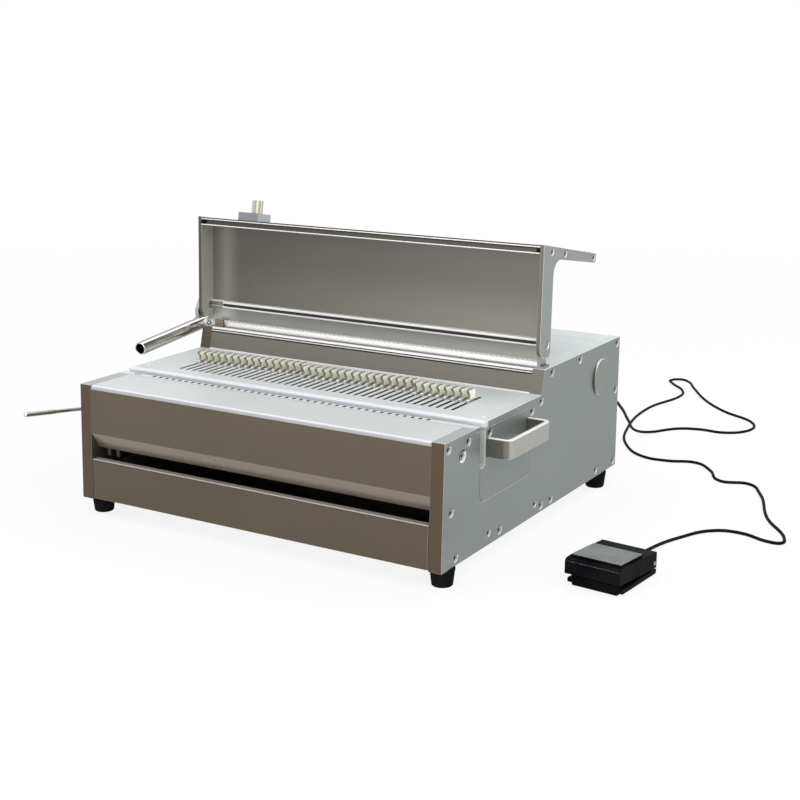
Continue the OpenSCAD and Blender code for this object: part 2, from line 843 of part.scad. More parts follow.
module stop_knob() {
  color([0.78, 0.77, 0.72]) on_arm() translate([stop_x + 6, stop_s - 4, 0]) {
    translate([0, 0, 0.5]) cylinder(h = 8.7, r = 3);
    translate([0, 0, 9.2]) cylinder(h = 13.5, r = 6.1);
  }
}

// Foot pedal, in its own frame on the floor

module pedal() {
  translate([pedal_x, pedal_y, 0]) rotate([0, 0, pedal_turn]) children();
}

module pedal_base() {
  black() pedal() difference() {
    union() {
      box([-base_w / 2, -pedal_d / 2, 0], [base_w / 2, pedal_d / 2, 9]);
      for (s = [-1, 1]) {
        box([s * 19 - 4, 24, 9], [s * 19 + 4, 33, 17]);
      }
    }
    cyl_x(-30, 30, 28.5, 13, 2);
  }
}

module pedal_pin() {
  steel() pedal() {
    cyl_x(-treadle_w / 2 - 0.8, treadle_w / 2 + 0.8, 28.5, 13, 2);
  }
}

module pedal_treadle() {
  w = treadle_w / 2;
  black() pedal() difference() {
    prof(-w, w) polygon([
      [-39, 12], [-39, 24.2], [-36.5, 26.4], [-30, 26.8], [32, 23.4], [33.5, 22], [33.5, 7.5]
    ]);
    prof(-w + 2.2, w - 2.2) polygon([
      [-37, 2], [-37, 23.8], [-30, 24.4], [34.5, 20.9], [34.5, 2]
    ]);
    cyl_x(-40, 40, 28.5, 13, 2.06);
  }
}

module pedal_pad() {
  color([0.3, 0.33, 0.31]) pedal() prof(-25, 25) polygon([
    [-28, 26.69], [-28, 29], [8.5, 27], [8.5, 24.689]
  ]);
}

// Pedal cord: one swept tube along the route

module cord() {
  n = len(cord_route);
  k = 8;
  r = cord_d / 2;
  pts = [for (i = [0:n - 1])
    let (
      t = unit(cord_route[min(i + 1, n - 1)] - cord_route[max(i - 1, 0)]),
      a = unit(cross(t, [0, 0, 1])),
      b = cross(a, t)
    )
    for (j = [0:k - 1]) cord_route[i] + r * (cos(45 * j) * a + sin(45 * j) * b)];
  sides = [for (i = [0:n - 2]) for (j = [0:k - 1])
    [i * k + j, i * k + (j + 1) % k, (i + 1) * k + (j + 1) % k, (i + 1) * k + j]];
  ends = [[for (j = [0:k - 1]) k - 1 - j], [for (j = [0:k - 1]) (n - 1) * k + j]];
  black() polyhedron(points = pts, faces = concat(sides, ends), convexity = 10);
}

side_plate_left();
side_plate_right();
base_plate();
feet();
front_cover();
slot_bar();
deck_nose();
deck_plate();
deck_screws();
riser_panel();
rear_cover();
rear_panel();
plate_screws();
blanking_cap();
power_inlet();
switch_frame();
switch_rocker();
cord_gland();
die_rails();
carriage_rails();
beam_guides();
crank_bearings();
gearbox();
motor();
shaft_bearings();
hinge_brackets();
hinge_pins();
drawer_front();
chip_tray();
die_block();
die_end_plate();
die_handle();
die_screw();
pin_bar();
punch_pins();
press_beam();
crank_shaft();
lever_tube();
lever_shaft();
shaft_collar();
lever_bolt();
drive_arms();
hook_carriage();
hooks_left();
hooks_centre();
hooks_right();
clamp_cam();
clamp_rod();
lid_cheek_left();
lid_cheek_right();
lid_panel();
lid_shelf();
lid_screws();
paper_stop();
stop_knob();
pedal_base();
pedal_treadle();
pedal_pad();
pedal_pin();
cord();
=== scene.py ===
"""Looks of a desk-top die punching machine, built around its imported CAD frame.

Every piece is in metres, in the frame of the CAD part: +X to the operator's right, +Y to the back, +Z up.
"""

import json
import logging
import math
from dataclasses import dataclass
from enum import Enum, IntEnum
from typing import Any, Callable, Iterable, Optional, Sequence, Union

import bmesh
import bpy
from mathutils import Matrix, Vector

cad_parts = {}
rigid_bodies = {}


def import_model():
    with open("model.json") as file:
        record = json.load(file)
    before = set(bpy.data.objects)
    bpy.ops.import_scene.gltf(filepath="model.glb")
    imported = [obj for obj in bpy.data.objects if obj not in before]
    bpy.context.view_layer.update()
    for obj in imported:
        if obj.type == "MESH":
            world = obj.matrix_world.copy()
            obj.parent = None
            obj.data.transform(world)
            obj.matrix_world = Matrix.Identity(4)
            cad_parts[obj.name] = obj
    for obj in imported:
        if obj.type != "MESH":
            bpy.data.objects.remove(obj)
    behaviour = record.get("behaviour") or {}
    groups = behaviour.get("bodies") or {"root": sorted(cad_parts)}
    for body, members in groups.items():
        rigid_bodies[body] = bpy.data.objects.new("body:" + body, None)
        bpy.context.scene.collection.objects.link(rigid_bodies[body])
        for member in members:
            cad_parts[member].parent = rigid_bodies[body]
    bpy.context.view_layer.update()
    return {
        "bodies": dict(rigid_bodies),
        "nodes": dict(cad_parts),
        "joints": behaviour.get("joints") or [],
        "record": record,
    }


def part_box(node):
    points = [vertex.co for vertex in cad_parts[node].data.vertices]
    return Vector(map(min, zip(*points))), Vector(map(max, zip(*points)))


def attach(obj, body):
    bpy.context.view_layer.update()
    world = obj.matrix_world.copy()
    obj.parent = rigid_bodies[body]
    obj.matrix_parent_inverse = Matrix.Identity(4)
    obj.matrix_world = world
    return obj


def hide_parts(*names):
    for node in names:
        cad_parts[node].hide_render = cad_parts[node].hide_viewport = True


LOG = logging.getLogger("punch")
MM = 0.001
BODY_D = 394.0
FOOT_H = 18.0
HOOK_PITCH = 8.47

Point = tuple[float, float, float]
Colour = tuple[float, float, float]
Span = tuple[float, float]
Outline = Sequence[Span]
Mesh = bmesh.types.BMesh
Finish = bpy.types.Material
Accent = tuple[Callable[[Vector, Vector], bool], Finish]
Plane = tuple[Vector, Vector]

WHITE: Colour = (1.0, 1.0, 1.0)
X_AXIS = Vector((1, 0, 0))
Z_AXIS = Vector((0, 0, 1))


def at(x: float, y: float, z: float) -> Vector:
    """A drawing point in the row frame: x from the middle, y behind the front edge, z above the plates' underside."""
    return Vector((x, y - BODY_D / 2, z + FOOT_H)) * MM


def drawn(point: Vector) -> Vector:
    """The drawing point, in millimetres, of a point in the row frame."""
    return point / MM - Vector((0.0, -BODY_D / 2, FOOT_H))


def level(z: float) -> Plane:
    """The flat plane at a drawing height, as a point and a normal."""
    return at(0.0, 0.0, z), Z_AXIS


def upright(x: float) -> Plane:
    """The plane across the machine at a drawing width, as a point and a normal."""
    return at(x, 0.0, 0.0), X_AXIS


class Side(Enum):
    """The two sides of the machine, as the sign of X."""

    LEFT = -1
    RIGHT = 1


class Coord(Enum):
    """The coordinates that a finish reads."""

    OBJECT = "Object"
    NORMAL = "Normal"


def summed(operation: str, reflected: bool = False) -> Callable[["Wire", Any], "Wire"]:
    """Makes an operator of two values that adds one Math node.

    Args:
        operation: the Math node's operation.
        reflected: whether the other value comes first.

    Returns:
        The operator.
    """

    def operator(self: "Wire", other: Any = 0.0) -> "Wire":
        """Adds the node and gives its output."""
        first, second = (other, self) if reflected else (self, other)
        return self.shader.node("ShaderNodeMath", {"operation": operation}, {0: first, 1: second})

    return operator


class Wire:
    """A shader socket that takes part in Python sums."""

    def __init__(self, shader: "Shader", socket: bpy.types.NodeSocket) -> None:
        """Holds a socket and the shader that it belongs to."""
        self.shader = shader
        self.socket = socket

    __add__ = __radd__ = summed("ADD")
    __mul__ = __rmul__ = summed("MULTIPLY")
    __sub__ = summed("SUBTRACT")
    __rsub__ = summed("SUBTRACT", reflected=True)
    larger = summed("MAXIMUM")
    sine = summed("SINE")

    def __neg__(self) -> "Wire":
        """The value with its sign turned."""
        return self * -1.0

    def step(self, low: float, high: float) -> "Wire":
        """A smooth step from 0 at low to 1 at high."""
        inputs = {"Value": self, "From Min": low, "From Max": high}
        return self.shader.node("ShaderNodeMapRange", {"interpolation_type": "SMOOTHSTEP"}, inputs)


class Shader:
    """The node tree of one material or world, with one method that adds any node."""

    def __init__(self, owner: Union[bpy.types.Material, bpy.types.World]) -> None:
        """Starts an empty tree.

        Args:
            owner: the material or world that the tree belongs to.
        """
        owner.use_nodes = True
        self.owner = owner
        self.tree = owner.node_tree
        self.tree.nodes.clear()
        self._coords: Optional[bpy.types.Node] = None

    @classmethod
    def named(cls, name: str) -> "Shader":
        """Starts a new material."""
        return cls(bpy.data.materials.new(name))

    def add(
        self, kind: str, settings: Optional[dict[str, Any]] = None, inputs: Optional[dict[Any, Any]] = None
    ) -> bpy.types.Node:
        """Adds any node, sets it and links it.

        Args:
            kind: the node's type.
            settings: its own settings, set before its sockets.
            inputs: values or wires by socket name or number.

        Returns:
            The new node.
        """
        made = self.tree.nodes.new(kind)
        for key, value in (settings or {}).items():
            setattr(made, key, value)
        for key, value in (inputs or {}).items():
            if isinstance(value, Wire):
                self.tree.links.new(value.socket, made.inputs[key])
            elif isinstance(value, tuple) and len(value) == 3 and made.inputs[key].type == "RGBA":
                made.inputs[key].default_value = (*value, 1.0)
            else:
                made.inputs[key].default_value = value
        return made

    def node(
        self, kind: str, settings: Optional[dict[str, Any]] = None, inputs: Optional[dict[Any, Any]] = None,
        out: Union[int, str] = 0,
    ) -> Wire:
        """Adds a node as above, and gives one of its outputs by name or number."""
        return Wire(self, self.add(kind, settings, inputs).outputs[out])

    def coord(self, which: Coord) -> Wire:
        """The piece's own coordinates of one kind, all from one node."""
        self._coords = self._coords or self.add("ShaderNodeTexCoord")
        return Wire(self, self._coords.outputs[which.value])

    def axis(self, vector: Wire, name: str) -> Wire:
        """One part, X, Y or Z, of a vector."""
        return self.node("ShaderNodeSeparateXYZ", None, {0: vector}, name)

    def noise(self, scale: float, detail: float = 2.0, stretch: Point = (1.0, 1.0, 1.0)) -> Wire:
        """Noise about 0.5 on the piece's own coordinates, from its waves per metre and its octaves."""
        place = self.node("ShaderNodeMapping", None, {"Vector": self.coord(Coord.OBJECT), "Scale": stretch})
        return self.node("ShaderNodeTexNoise", None, {"Vector": place, "Scale": scale, "Detail": detail})

    def blend(self, share: Union[Wire, float], low: Any, high: Any) -> Wire:
        """Mixes two colours: low where the share is 0, high where it is 1."""
        return self.node("ShaderNodeMix", {"data_type": "RGBA"}, {0: share, 6: low, 7: high}, 2)

    def bump(self, height: Wire, depth: float) -> Wire:
        """A bump of the given depth in metres."""
        return self.node("ShaderNodeBump", None, {"Height": height, "Distance": depth})

    def surface(self, values: dict[str, Any]) -> Finish:
        """Ends the material with a Principled shader, given its sockets by name."""
        self.end(self.node("ShaderNodeBsdfPrincipled", None, values))
        return self.owner

    def end(self, wire: Wire, kind: str = "ShaderNodeOutputMaterial") -> None:
        """Links a shader to the output node."""
        self.add(kind, None, {"Surface": wire})

    def seen(self) -> Wire:
        """1 for the rays that show the background: camera, glossy and transmission rays."""
        path = self.add("ShaderNodeLightPath")
        kinds = ("Camera", "Glossy", "Transmission")
        camera, glossy, through = (Wire(self, path.outputs[f"Is {kind} Ray"]) for kind in kinds)
        return camera.larger(glossy).larger(through)


@dataclass(frozen=True)
class Anodised:
    """Blasted and anodised aluminium, matt on its flat tops, with painted shade by face direction: pale on top, darker
    on the sides and darkest and warmer on the faces towards the operator.
    """

    name: str
    silver: Colour
    flank: Colour
    front: Colour
    rough: float = 0.42
    metal: float = 0.55
    grain: float = 0.20
    cloud: float = 0.14
    gleam: float = 0.3
    matt: float = 0.8
    turned_ahead: Span = (0.45, 0.85)
    turned_aside: Span = (0.55, 0.9)
    turned_up: Span = (0.6, 0.95)

    def tone(self, sh: Shader, slow: Wire, fine: Wire) -> Wire:
        """How pale the metal is at each spot, about 1."""
        return 1.0 + (fine - 0.5) * self.grain + (slow - 0.5) * self.cloud

    def build(self) -> Finish:
        """Makes the material."""
        sh = Shader.named(self.name)
        normal = sh.coord(Coord.NORMAL)
        ahead = (-sh.axis(normal, "Y")).step(*self.turned_ahead)
        across = sh.axis(normal, "X")
        aside = across.larger(-across).step(*self.turned_aside)
        flat = sh.axis(normal, "Z").step(*self.turned_up)
        fine = sh.noise(900.0)
        slow = sh.noise(9.0, 3.0)
        # Painted shade by face direction: the silver colour on tops, the flank colour on sides and the front colour on
        # faces towards the operator.
        base = sh.blend(aside, self.silver, self.flank)
        base = sh.blend(ahead, base, self.front)
        base = sh.node("ShaderNodeVectorMath", {"operation": "SCALE"}, {0: base, "Scale": self.tone(sh, slow, fine)})
        rough = self.rough + (fine - 0.5) * 0.10 + (slow - 0.5) * 0.12
        return sh.surface({
            "Base Color": base, "Metallic": self.metal - flat * (self.metal * self.matt), "Roughness": rough,
            "Specular IOR Level": self.gleam, "Specular Tint": (0.6, 0.6, 0.6), "Normal": sh.bump(fine, 0.00004),
        })


@dataclass(frozen=True)
class SheetWithPaintedReflection(Anodised):
    """Anodised sheet with painted reflections: paler towards one side, towards its foot and along its left edge."""

    across: float = 1.5
    foot: Span = (0.25, 0.196)
    foot_reflection: Span = (1.3, 0.40)
    left: Span = (-0.168, -0.194)
    left_reflection: float = 0.85

    def tone(self, sh: Shader, slow: Wire, fine: Wire) -> Wire:
        """How pale the sheet is at each spot, with its painted reflections.

        Args:
            sh: the material's shader.
            slow: wide noise.
            fine: fine noise.

        Returns:
            A value about 1.
        """
        place = sh.coord(Coord.OBJECT)
        x, z = sh.axis(place, "X"), sh.axis(place, "Z")
        # Painted reflections: paler towards +X, towards the sheet's foot and along its left edge.
        low = (-z).step(-self.foot[0], -self.foot[1]) * (x * self.foot_reflection[0] + self.foot_reflection[1])
        side = (-x).step(-self.left[0], -self.left[1])
        return super().tone(sh, slow, fine) + x * self.across + low + side * self.left_reflection


@dataclass(frozen=True)
class Ground:
    """Ground or drawn metal with fine lines along one axis."""

    name: str
    colour: Colour
    rough: float = 0.3
    metal: float = 1.0
    along: Point = (0.02, 1.0, 1.0)
    lines: float = 2500.0
    edge: float = 0.4

    def build(self) -> Finish:
        """Makes the material."""
        sh = Shader.named(self.name)
        line = sh.noise(self.lines, 2.0, self.along)
        slow = sh.noise(25.0, 3.0)
        dark = tuple(c * 0.86 for c in self.colour)
        pale = tuple(min(1.0, c * 1.1) for c in self.colour)
        rough = self.rough + (line - 0.5) * 0.16 + (slow - 0.5) * 0.12
        return sh.surface({
            "Base Color": sh.blend(slow, dark, pale), "Metallic": self.metal, "Roughness": rough,
            "Specular Tint": (self.edge, self.edge, self.edge), "Normal": sh.bump(line, 0.00002),
        })


@dataclass(frozen=True)
class Striped:
    """A turned and polished shaft, pale with slant stripes along it, and painted shade on its underside."""

    name: str
    bright: Colour
    line: Colour
    # under: the colour of the painted shade on the shaft's underside.
    under: Colour
    pitch: float = 0.0058
    slant: float = 2.0
    plain_to: float = -0.193

    def build(self) -> Finish:
        """Makes the material."""
        sh = Shader.named(self.name)
        place = sh.coord(Coord.OBJECT)
        along = sh.axis(place, "X") + sh.axis(place, "Z") * self.slant
        wave = (along * (math.tau / self.pitch) + sh.noise(60.0) * 1.5).sine()
        cut = sh.axis(place, "X").step(self.plain_to - 0.0002, self.plain_to)
        base = sh.blend(wave.step(-0.3, 1.0) * cut, self.bright, self.line)
        # Painted shade: the underside blends towards the under colour.
        under = (-sh.axis(sh.coord(Coord.NORMAL), "Z")).step(-0.55, 0.35)
        base = sh.blend(under * 0.75, base, self.under)
        return sh.surface({
            "Base Color": base, "Metallic": 0.35, "Roughness": 0.24 + sh.noise(400.0) * 0.1,
            "Specular IOR Level": 0.3, "Specular Tint": (0.5, 0.5, 0.5),
        })


@dataclass(frozen=True)
class Moulded:
    """Moulded plastic with a fine eroded texture."""

    name: str
    colour: Colour
    rough: float = 0.4
    texture: float = 1800.0
    depth: float = 0.00003
    worn: float = 0.12
    gleam: float = 0.25

    def build(self) -> Finish:
        """Makes the material."""
        sh = Shader.named(self.name)
        fine = sh.noise(self.texture)
        slow = sh.noise(35.0, 4.0)
        pale = tuple(min(1.0, c * (1.0 + self.worn) + 0.004) for c in self.colour)
        dark = tuple(c * (1.0 - self.worn) for c in self.colour)
        rough = self.rough + (slow - 0.5) * 0.16 + (fine - 0.5) * 0.08
        return sh.surface({
            "Base Color": sh.blend(slow.step(0.35, 0.65), dark, pale), "Roughness": rough,
            "Specular IOR Level": self.gleam, "Normal": sh.bump(fine, self.depth),
        })


class Finishes:
    """All the finishes of the machine, each made once."""

    def __init__(self) -> None:
        """Makes the materials."""
        # Each anodised finish below carries painted shade by face direction: silver for tops, flank for sides, front
        # for faces towards the operator.
        silver: Colour = (0.66, 0.70, 0.70)
        flank: Colour = (0.25, 0.275, 0.262)
        shaded_front: Colour = (0.118, 0.099, 0.072)
        arm: Colour = (0.30, 0.325, 0.31)
        self.case = Anodised("anodised_case", silver, flank, shaded_front).build()
        self.plate = Anodised("anodised_plate", silver, flank, (0.108, 0.081, 0.056)).build()
        self.ledge = Anodised("plate_ledge", (0.40, 0.425, 0.44), flank, shaded_front).build()
        self.cover = Anodised("anodised_cover", (0.605, 0.638, 0.636), flank, (0.134, 0.114, 0.084)).build()
        # Painted light: pale slot walls, the lit part of the slots' walls against the painted shade below them.
        self.wall = Anodised("slot_walls", (0.62, 0.64, 0.63), (0.60, 0.62, 0.61), (0.58, 0.60, 0.58), 0.4, 0.1).build()
        # Painted shade for gaps and shaded places: the end plate's rim, the catch in its recess and the shaded half of
        # the screw rims.
        self.seam = Anodised("dark_seam", (0.30, 0.32, 0.31), (0.10, 0.105, 0.10), (0.08, 0.08, 0.075), 0.5).build()
        self.deck = Anodised("anodised_deck", (0.665, 0.70, 0.70), flank, shaded_front).build()
        self.riser = Anodised("anodised_riser", silver, flank, (0.180, 0.169, 0.150)).build()
        self.lid = Anodised("anodised_lid", (0.62, 0.65, 0.65), arm, (0.20, 0.19, 0.165)).build()
        # Painted light: a paler flank for the left cheek's inner face, which lies in shade.
        self.lit_cheek = Anodised("anodised_cheek", silver, (0.52, 0.52, 0.48), (0.20, 0.19, 0.165)).build()
        # The panel and its foot carry painted reflections that grow paler towards +X, the foot and the left edge.
        self.panel = SheetWithPaintedReflection("anodised_panel", silver, arm, (0.160, 0.150, 0.135), rough=0.34, metal=0.6).build()
        self.foot = SheetWithPaintedReflection(
            "anodised_panel_foot", silver, arm, (0.262, 0.258, 0.240), 0.34, 0.6, across=0.3, foot=(0.187, 0.171)
        ).build()
        self.handle = Anodised(
            "satin_handle", (0.86, 0.88, 0.85), (0.40, 0.40, 0.37), (0.19, 0.185, 0.162), 0.33, 0.6
        ).build()
        self.slider = Anodised("grey_slider", silver, (0.42, 0.46, 0.46), (0.28, 0.28, 0.31), 0.45, 0.3).build()
        # Painted highlights on rounded edges.
        self.edge = Anodised(
            "bright_edges", (0.92, 0.94, 0.96), (0.90, 0.92, 0.93), (0.46, 0.43, 0.39), 0.3, 0.3
        ).build()
        # Painted highlight on rounded top edges that face the light.
        self.crest_highlight = Anodised(
            "pale_crest", (0.76, 0.78, 0.82), (0.76, 0.78, 0.80), (0.46, 0.46, 0.47), 0.35, 0.2
        ).build()
        # Painted light and shade in a re-toned copy of the anodised finish: darker tops and sides and a paler front,
        # for the cover's lower lip, the plates' inner faces, the drawer front's edges and top, and the bearing keeper.
        self.lip = Anodised(
            "turned_lip", (0.36, 0.33, 0.29), (0.10, 0.088, 0.07), (0.25, 0.22, 0.18), rough=0.3
        ).build()
        # Painted light: faces towards the front are as pale as the top, against the shade in the paper slot.
        self.satin = Anodised("satin_bar", (0.80, 0.82, 0.86), (0.62, 0.64, 0.66), (0.82, 0.83, 0.87), 0.4, 0.0).build()
        self.shade = Anodised("shaded_groove", (0.05, 0.047, 0.043), (0.04, 0.038, 0.035), (0.05, 0.046, 0.042)).build()
        # Painted shade in the shelf's channel.
        self.groove = Anodised(
            "shelf_groove", (0.10, 0.088, 0.076), (0.08, 0.075, 0.07), (0.09, 0.08, 0.07), 0.25
        ).build()
        # Painted highlight: the pale band along the riser's top.
        self.lit_band = Anodised("ground_trim", (0.66, 0.63, 0.62), (0.5, 0.5, 0.5), (0.78, 0.76, 0.75), 0.35, 0.2).build()
        # Pale metal for the deck screws' round heads, and painted highlights along the riser's lines, the panel's rail
        # and the shelf's lips.
        self.bright = Ground("bright_trim", (0.88, 0.87, 0.87), rough=0.26, metal=0.3, edge=0.6).build()
        self.chrome = Ground("polished_rod", (0.76, 0.755, 0.73), rough=0.14, lines=900.0, edge=0.28).build()
        # The shaft's third colour is the painted shade on its underside.
        self.shaft = Striped("turned_shaft", (0.95, 0.94, 0.93), (0.82, 0.79, 0.78), (0.20, 0.19, 0.18)).build()
        self.steel = Ground("ground_steel", (0.42, 0.42, 0.43), rough=0.34).build()
        self.screw = Ground("screw_steel", (0.40, 0.40, 0.41), rough=0.24, along=(1.0, 1.0, 1.0), edge=0.5).build()
        self.knob = Ground("nickel_knob", (0.50, 0.47, 0.40), rough=0.24, along=(1.0, 1.0, 0.05), edge=0.3).build()
        self.cast = Moulded("painted_casting", (0.10, 0.105, 0.11), rough=0.5, texture=500.0, depth=0.0002).build()
        self.cream = Moulded("cream_hooks", (0.92, 0.92, 0.80), rough=0.42, worn=0.05).build()
        # Painted shade on the hooks: darker top edges, and darker concave fronts and lower sides.
        self.crown_shade = Ground("crown_edges", (0.22, 0.21, 0.17), rough=0.3, metal=0.4, edge=0.5).build()
        self.hollow_shade = Ground("hollow_edges", (0.32, 0.30, 0.25), rough=0.35, metal=0.3, edge=0.5).build()
        # Bright plated metal on the hooks' edges and toes, and the painted highlight on the lit half of the screw rims.
        self.plated_and_highlight = Ground("plated_edges", (0.90, 0.89, 0.85), rough=0.2, metal=0.5, edge=0.6).build()
        self.black = Moulded("black_moulding", (0.0045, 0.0045, 0.0055), rough=0.38, gleam=0.012).build()
        # Painted highlight on the treadle's front edge.
        self.black_edge_highlight = Moulded("worn_black_edges", (0.66, 0.66, 0.68), rough=0.3, gleam=0.5).build()
        self.rubber = Moulded("black_rubber", (0.008, 0.008, 0.009), rough=0.7, texture=900.0, gleam=0.015).build()
        self.pad = Moulded("pad_rubber", (0.17, 0.188, 0.178), rough=0.55, texture=1200.0, depth=0.00008).build()
        self.flex = Moulded("cord_sheath", (0.007, 0.0075, 0.009), rough=0.5, texture=1400.0, gleam=0.02).build()
        # Near black for the position marks and the set screw, and painted shade in the screw sockets, the lever's bore
        # and the ends of the shelf's channel.
        self.dark = Moulded("dark_inlay", (0.004, 0.004, 0.005), rough=0.6, gleam=0.1).build()


def turned(profile: Outline, steps: int = 48) -> Mesh:
    """Spins a profile about the Z axis.

    Args:
        profile: radius and height in millimetres, in order along the outline.
        steps: faces around.

    Returns:
        A new bmesh in metres.
    """
    bm = bmesh.new()
    dots = [bm.verts.new((r * MM, 0.0, z * MM)) for r, z in profile]
    edges = [bm.edges.new(pair) for pair in zip(dots, dots[1:])]
    bmesh.ops.spin(
        bm, geom=dots + edges, cent=(0, 0, 0), axis=(0, 0, 1), angle=math.tau, steps=steps, use_merge=True
    )
    bmesh.ops.remove_doubles(bm, verts=bm.verts, dist=1e-7)
    bmesh.ops.recalc_face_normals(bm, faces=bm.faces)
    return bm


def place(bm: Mesh, origin: Vector, axis: Vector) -> Mesh:
    """Turns a mesh from the Z axis onto another axis and moves it.

    Args:
        bm: the mesh, changed in place.
        origin: where its own origin goes, in metres.
        axis: where its Z axis points.

    Returns:
        The same mesh.
    """
    turn = Z_AXIS.rotation_difference(axis).to_matrix().to_4x4()
    bmesh.ops.transform(bm, matrix=Matrix.Translation(origin) @ turn, verts=bm.verts)
    return bm


def block(bm: Mesh, low: Vector, high: Vector) -> None:
    """Adds to a mesh a box between two corners, given in metres."""
    shift = Matrix.Translation((low + high) / 2) @ Matrix.Diagonal((*(high - low), 1.0))
    bmesh.ops.create_cube(bm, size=1.0, matrix=shift)


def join(bm: Mesh, other: Mesh) -> None:
    """Moves another mesh into this one.

    Args:
        bm: the mesh that grows.
        other: the mesh that goes into it, freed here.
    """
    store = bpy.data.meshes.new("join")
    other.to_mesh(store)
    other.free()
    bm.from_mesh(store)
    bpy.data.meshes.remove(store)


def extruded(corners: Iterable[Vector], way: Vector) -> Mesh:
    """Draws a flat outline along a way.

    Args:
        corners: the outline's corners, in metres.
        way: how far and where it goes, in metres.

    Returns:
        A new closed bmesh.
    """
    bm = bmesh.new()
    bm.faces.new([bm.verts.new(corner) for corner in corners])
    grown = bmesh.ops.extrude_face_region(bm, geom=bm.faces[:])
    ends = [g for g in grown["geom"] if isinstance(g, bmesh.types.BMVert)]
    bmesh.ops.translate(bm, verts=ends, vec=way)
    bmesh.ops.recalc_face_normals(bm, faces=bm.faces)
    return bm


def bevel(bm: Mesh, edges: list[bmesh.types.BMEdge], width: float, segments: int) -> list[bmesh.types.BMFace]:
    """Cuts edges back by a width in millimetres, and gives the new faces."""
    return bmesh.ops.bevel(
        bm, geom=edges, offset=width * MM, offset_type="OFFSET", segments=segments, profile=0.5,
        affect="EDGES", clamp_overlap=True, material=-1,
    )["faces"]


def soften(bm: Mesh, width: float, segments: int = 2, over: float = 40.0) -> list[bmesh.types.BMFace]:
    """Rounds the edges that turn by more than `over` degrees, by a width in millimetres, and gives the new faces."""
    sharp = [e for e in bm.edges if len(e.link_faces) == 2 and e.calc_face_angle(0.0) > math.radians(over)]
    return bevel(bm, sharp, width, segments)


class Bench:
    """Turns bmeshes into pieces that ride on the CAD bodies."""

    def __init__(self, frame: dict[str, Any], finishes: Finishes) -> None:
        """Keeps the loaded frame and the finishes.

        Args:
            finishes: the materials.
        """
        self.nodes: dict[str, bpy.types.Object] = frame["nodes"]
        self.finishes = finishes
        self.home = {n: b for b, ns in frame["record"]["behaviour"]["bodies"].items() for n in ns}
        self.slots = {s["node"]: s["material_slot"] for s in frame["record"]["subparts"]}

    def piece(
        self, name: str, bm: Mesh, finish: Union[Finish, list[Finish]], node: str,
        replaces: Iterable[str] = (), crease: float = 38.0,
    ) -> None:
        """Makes one piece from a bmesh.

        Args:
            name: the piece's name.
            bm: its mesh in the row frame, freed here.
            finish: its material, or a list that its faces choose from.
            node: the CAD node whose body it takes.
            replaces: CAD nodes that it stands for.
            crease: edges sharper than this many degrees stay sharp.
        """
        mesh = bpy.data.meshes.new(name)
        bm.to_mesh(mesh)
        bm.free()
        mesh.shade_smooth()
        mesh.set_sharp_from_angle(angle=math.radians(crease))
        for each in finish if isinstance(finish, list) else [finish]:
            mesh.materials.append(each)
        made = bpy.data.objects.new(name, mesh)
        bpy.context.scene.collection.objects.link(made)
        steer = made.modifiers.new("steer_normals", "WEIGHTED_NORMAL")
        steer.keep_sharp = True
        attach(made, self.home[node])
        if replaces:
            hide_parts(*replaces)
        LOG.info("piece %s on %s, %d faces", name, self.home[node], len(mesh.polygons))

    def outline(self, node: str) -> Mesh:
        """A merged copy of a CAD node's mesh, with its flat faces whole.

        Args:
            node: the CAD node.

        Returns:
            A new bmesh in the row frame.
        """
        bm = bmesh.new()
        bm.from_mesh(self.nodes[node].data)
        bmesh.ops.remove_doubles(bm, verts=bm.verts, dist=2e-6)
        bmesh.ops.dissolve_limit(
            bm, angle_limit=math.radians(0.6), use_dissolve_boundaries=False, verts=bm.verts, edges=bm.edges
        )
        return bm

    def dress(
        self, node: str, finish: Finish, width: float, over: float = 40.0, segments: int = 2,
        rim: Optional[Finish] = None, accents: Iterable[Accent] = (), cuts: Iterable[Plane] = (),
    ) -> None:
        """Replaces a CAD node by a copy with rounded edges.

        Args:
            node: the CAD node.
            finish: its material.
            width: the rounding in millimetres.
            over: the least angle of a rounded edge, in degrees.
            segments: steps across the rounding.
            rim: the material of the rounding, where it differs.
            accents: tests on a face's drawing point and normal, each with its own material.
            cuts: planes that part flat faces, so that an accent can end there.
        """
        bm = self.outline(node)
        for spot, axis in cuts:
            everything = bm.verts[:] + bm.edges[:] + bm.faces[:]
            bmesh.ops.bisect_plane(bm, geom=everything, plane_co=spot, plane_no=axis)
        bm.normal_update()
        skins = [finish, rim or finish]
        for face in soften(bm, width, segments, over):
            face.material_index = 1
        for number, (test, skin) in enumerate(accents, len(skins)):
            skins.append(skin)
            for face in bm.faces:
                if test(drawn(face.calc_center_median()), face.normal):
                    face.material_index = number
        many = [f for f in bm.faces if len(f.verts) > 4]
        bmesh.ops.triangulate(bm, faces=many, quad_method="BEAUTY", ngon_method="BEAUTY")
        self.piece(node + "_skin", bm, skins, node, [node])

    def paint(self, node: str, finish: Finish) -> None:
        """Gives a CAD node that stays its finish.

        Args:
            node: the CAD node.
            finish: its material.
        """
        data = self.nodes[node].data
        data.materials.clear()
        data.materials.append(finish)


@dataclass
class Group:
    """A sub-assembly, with the bench that its pieces are made on."""

    bench: Bench

    @property
    def fin(self) -> Finishes:
        """The machine's finishes."""
        return self.bench.finishes

    def lathe(
        self, name: str, profile: Outline, origin: Vector, axis: Vector, finish: Finish, node: str,
        replaces: bool = True, steps: int = 48,
    ) -> None:
        """Turns one round piece about an axis, in the body of a CAD node that it may replace."""
        bm = place(turned(profile, steps), origin, axis)
        self.bench.piece(name, bm, finish, node, [node] if replaces else [])


class ScrewFace(IntEnum):
    """The faces of a screw in its pocket, in the order of its materials; the pocket's rim is split into a lit half with
    a painted highlight and a shaded half with painted shade.
    """

    HEAD = 0
    SOCKET = 1
    LIT_RIM = 2
    DARK_RIM = 3


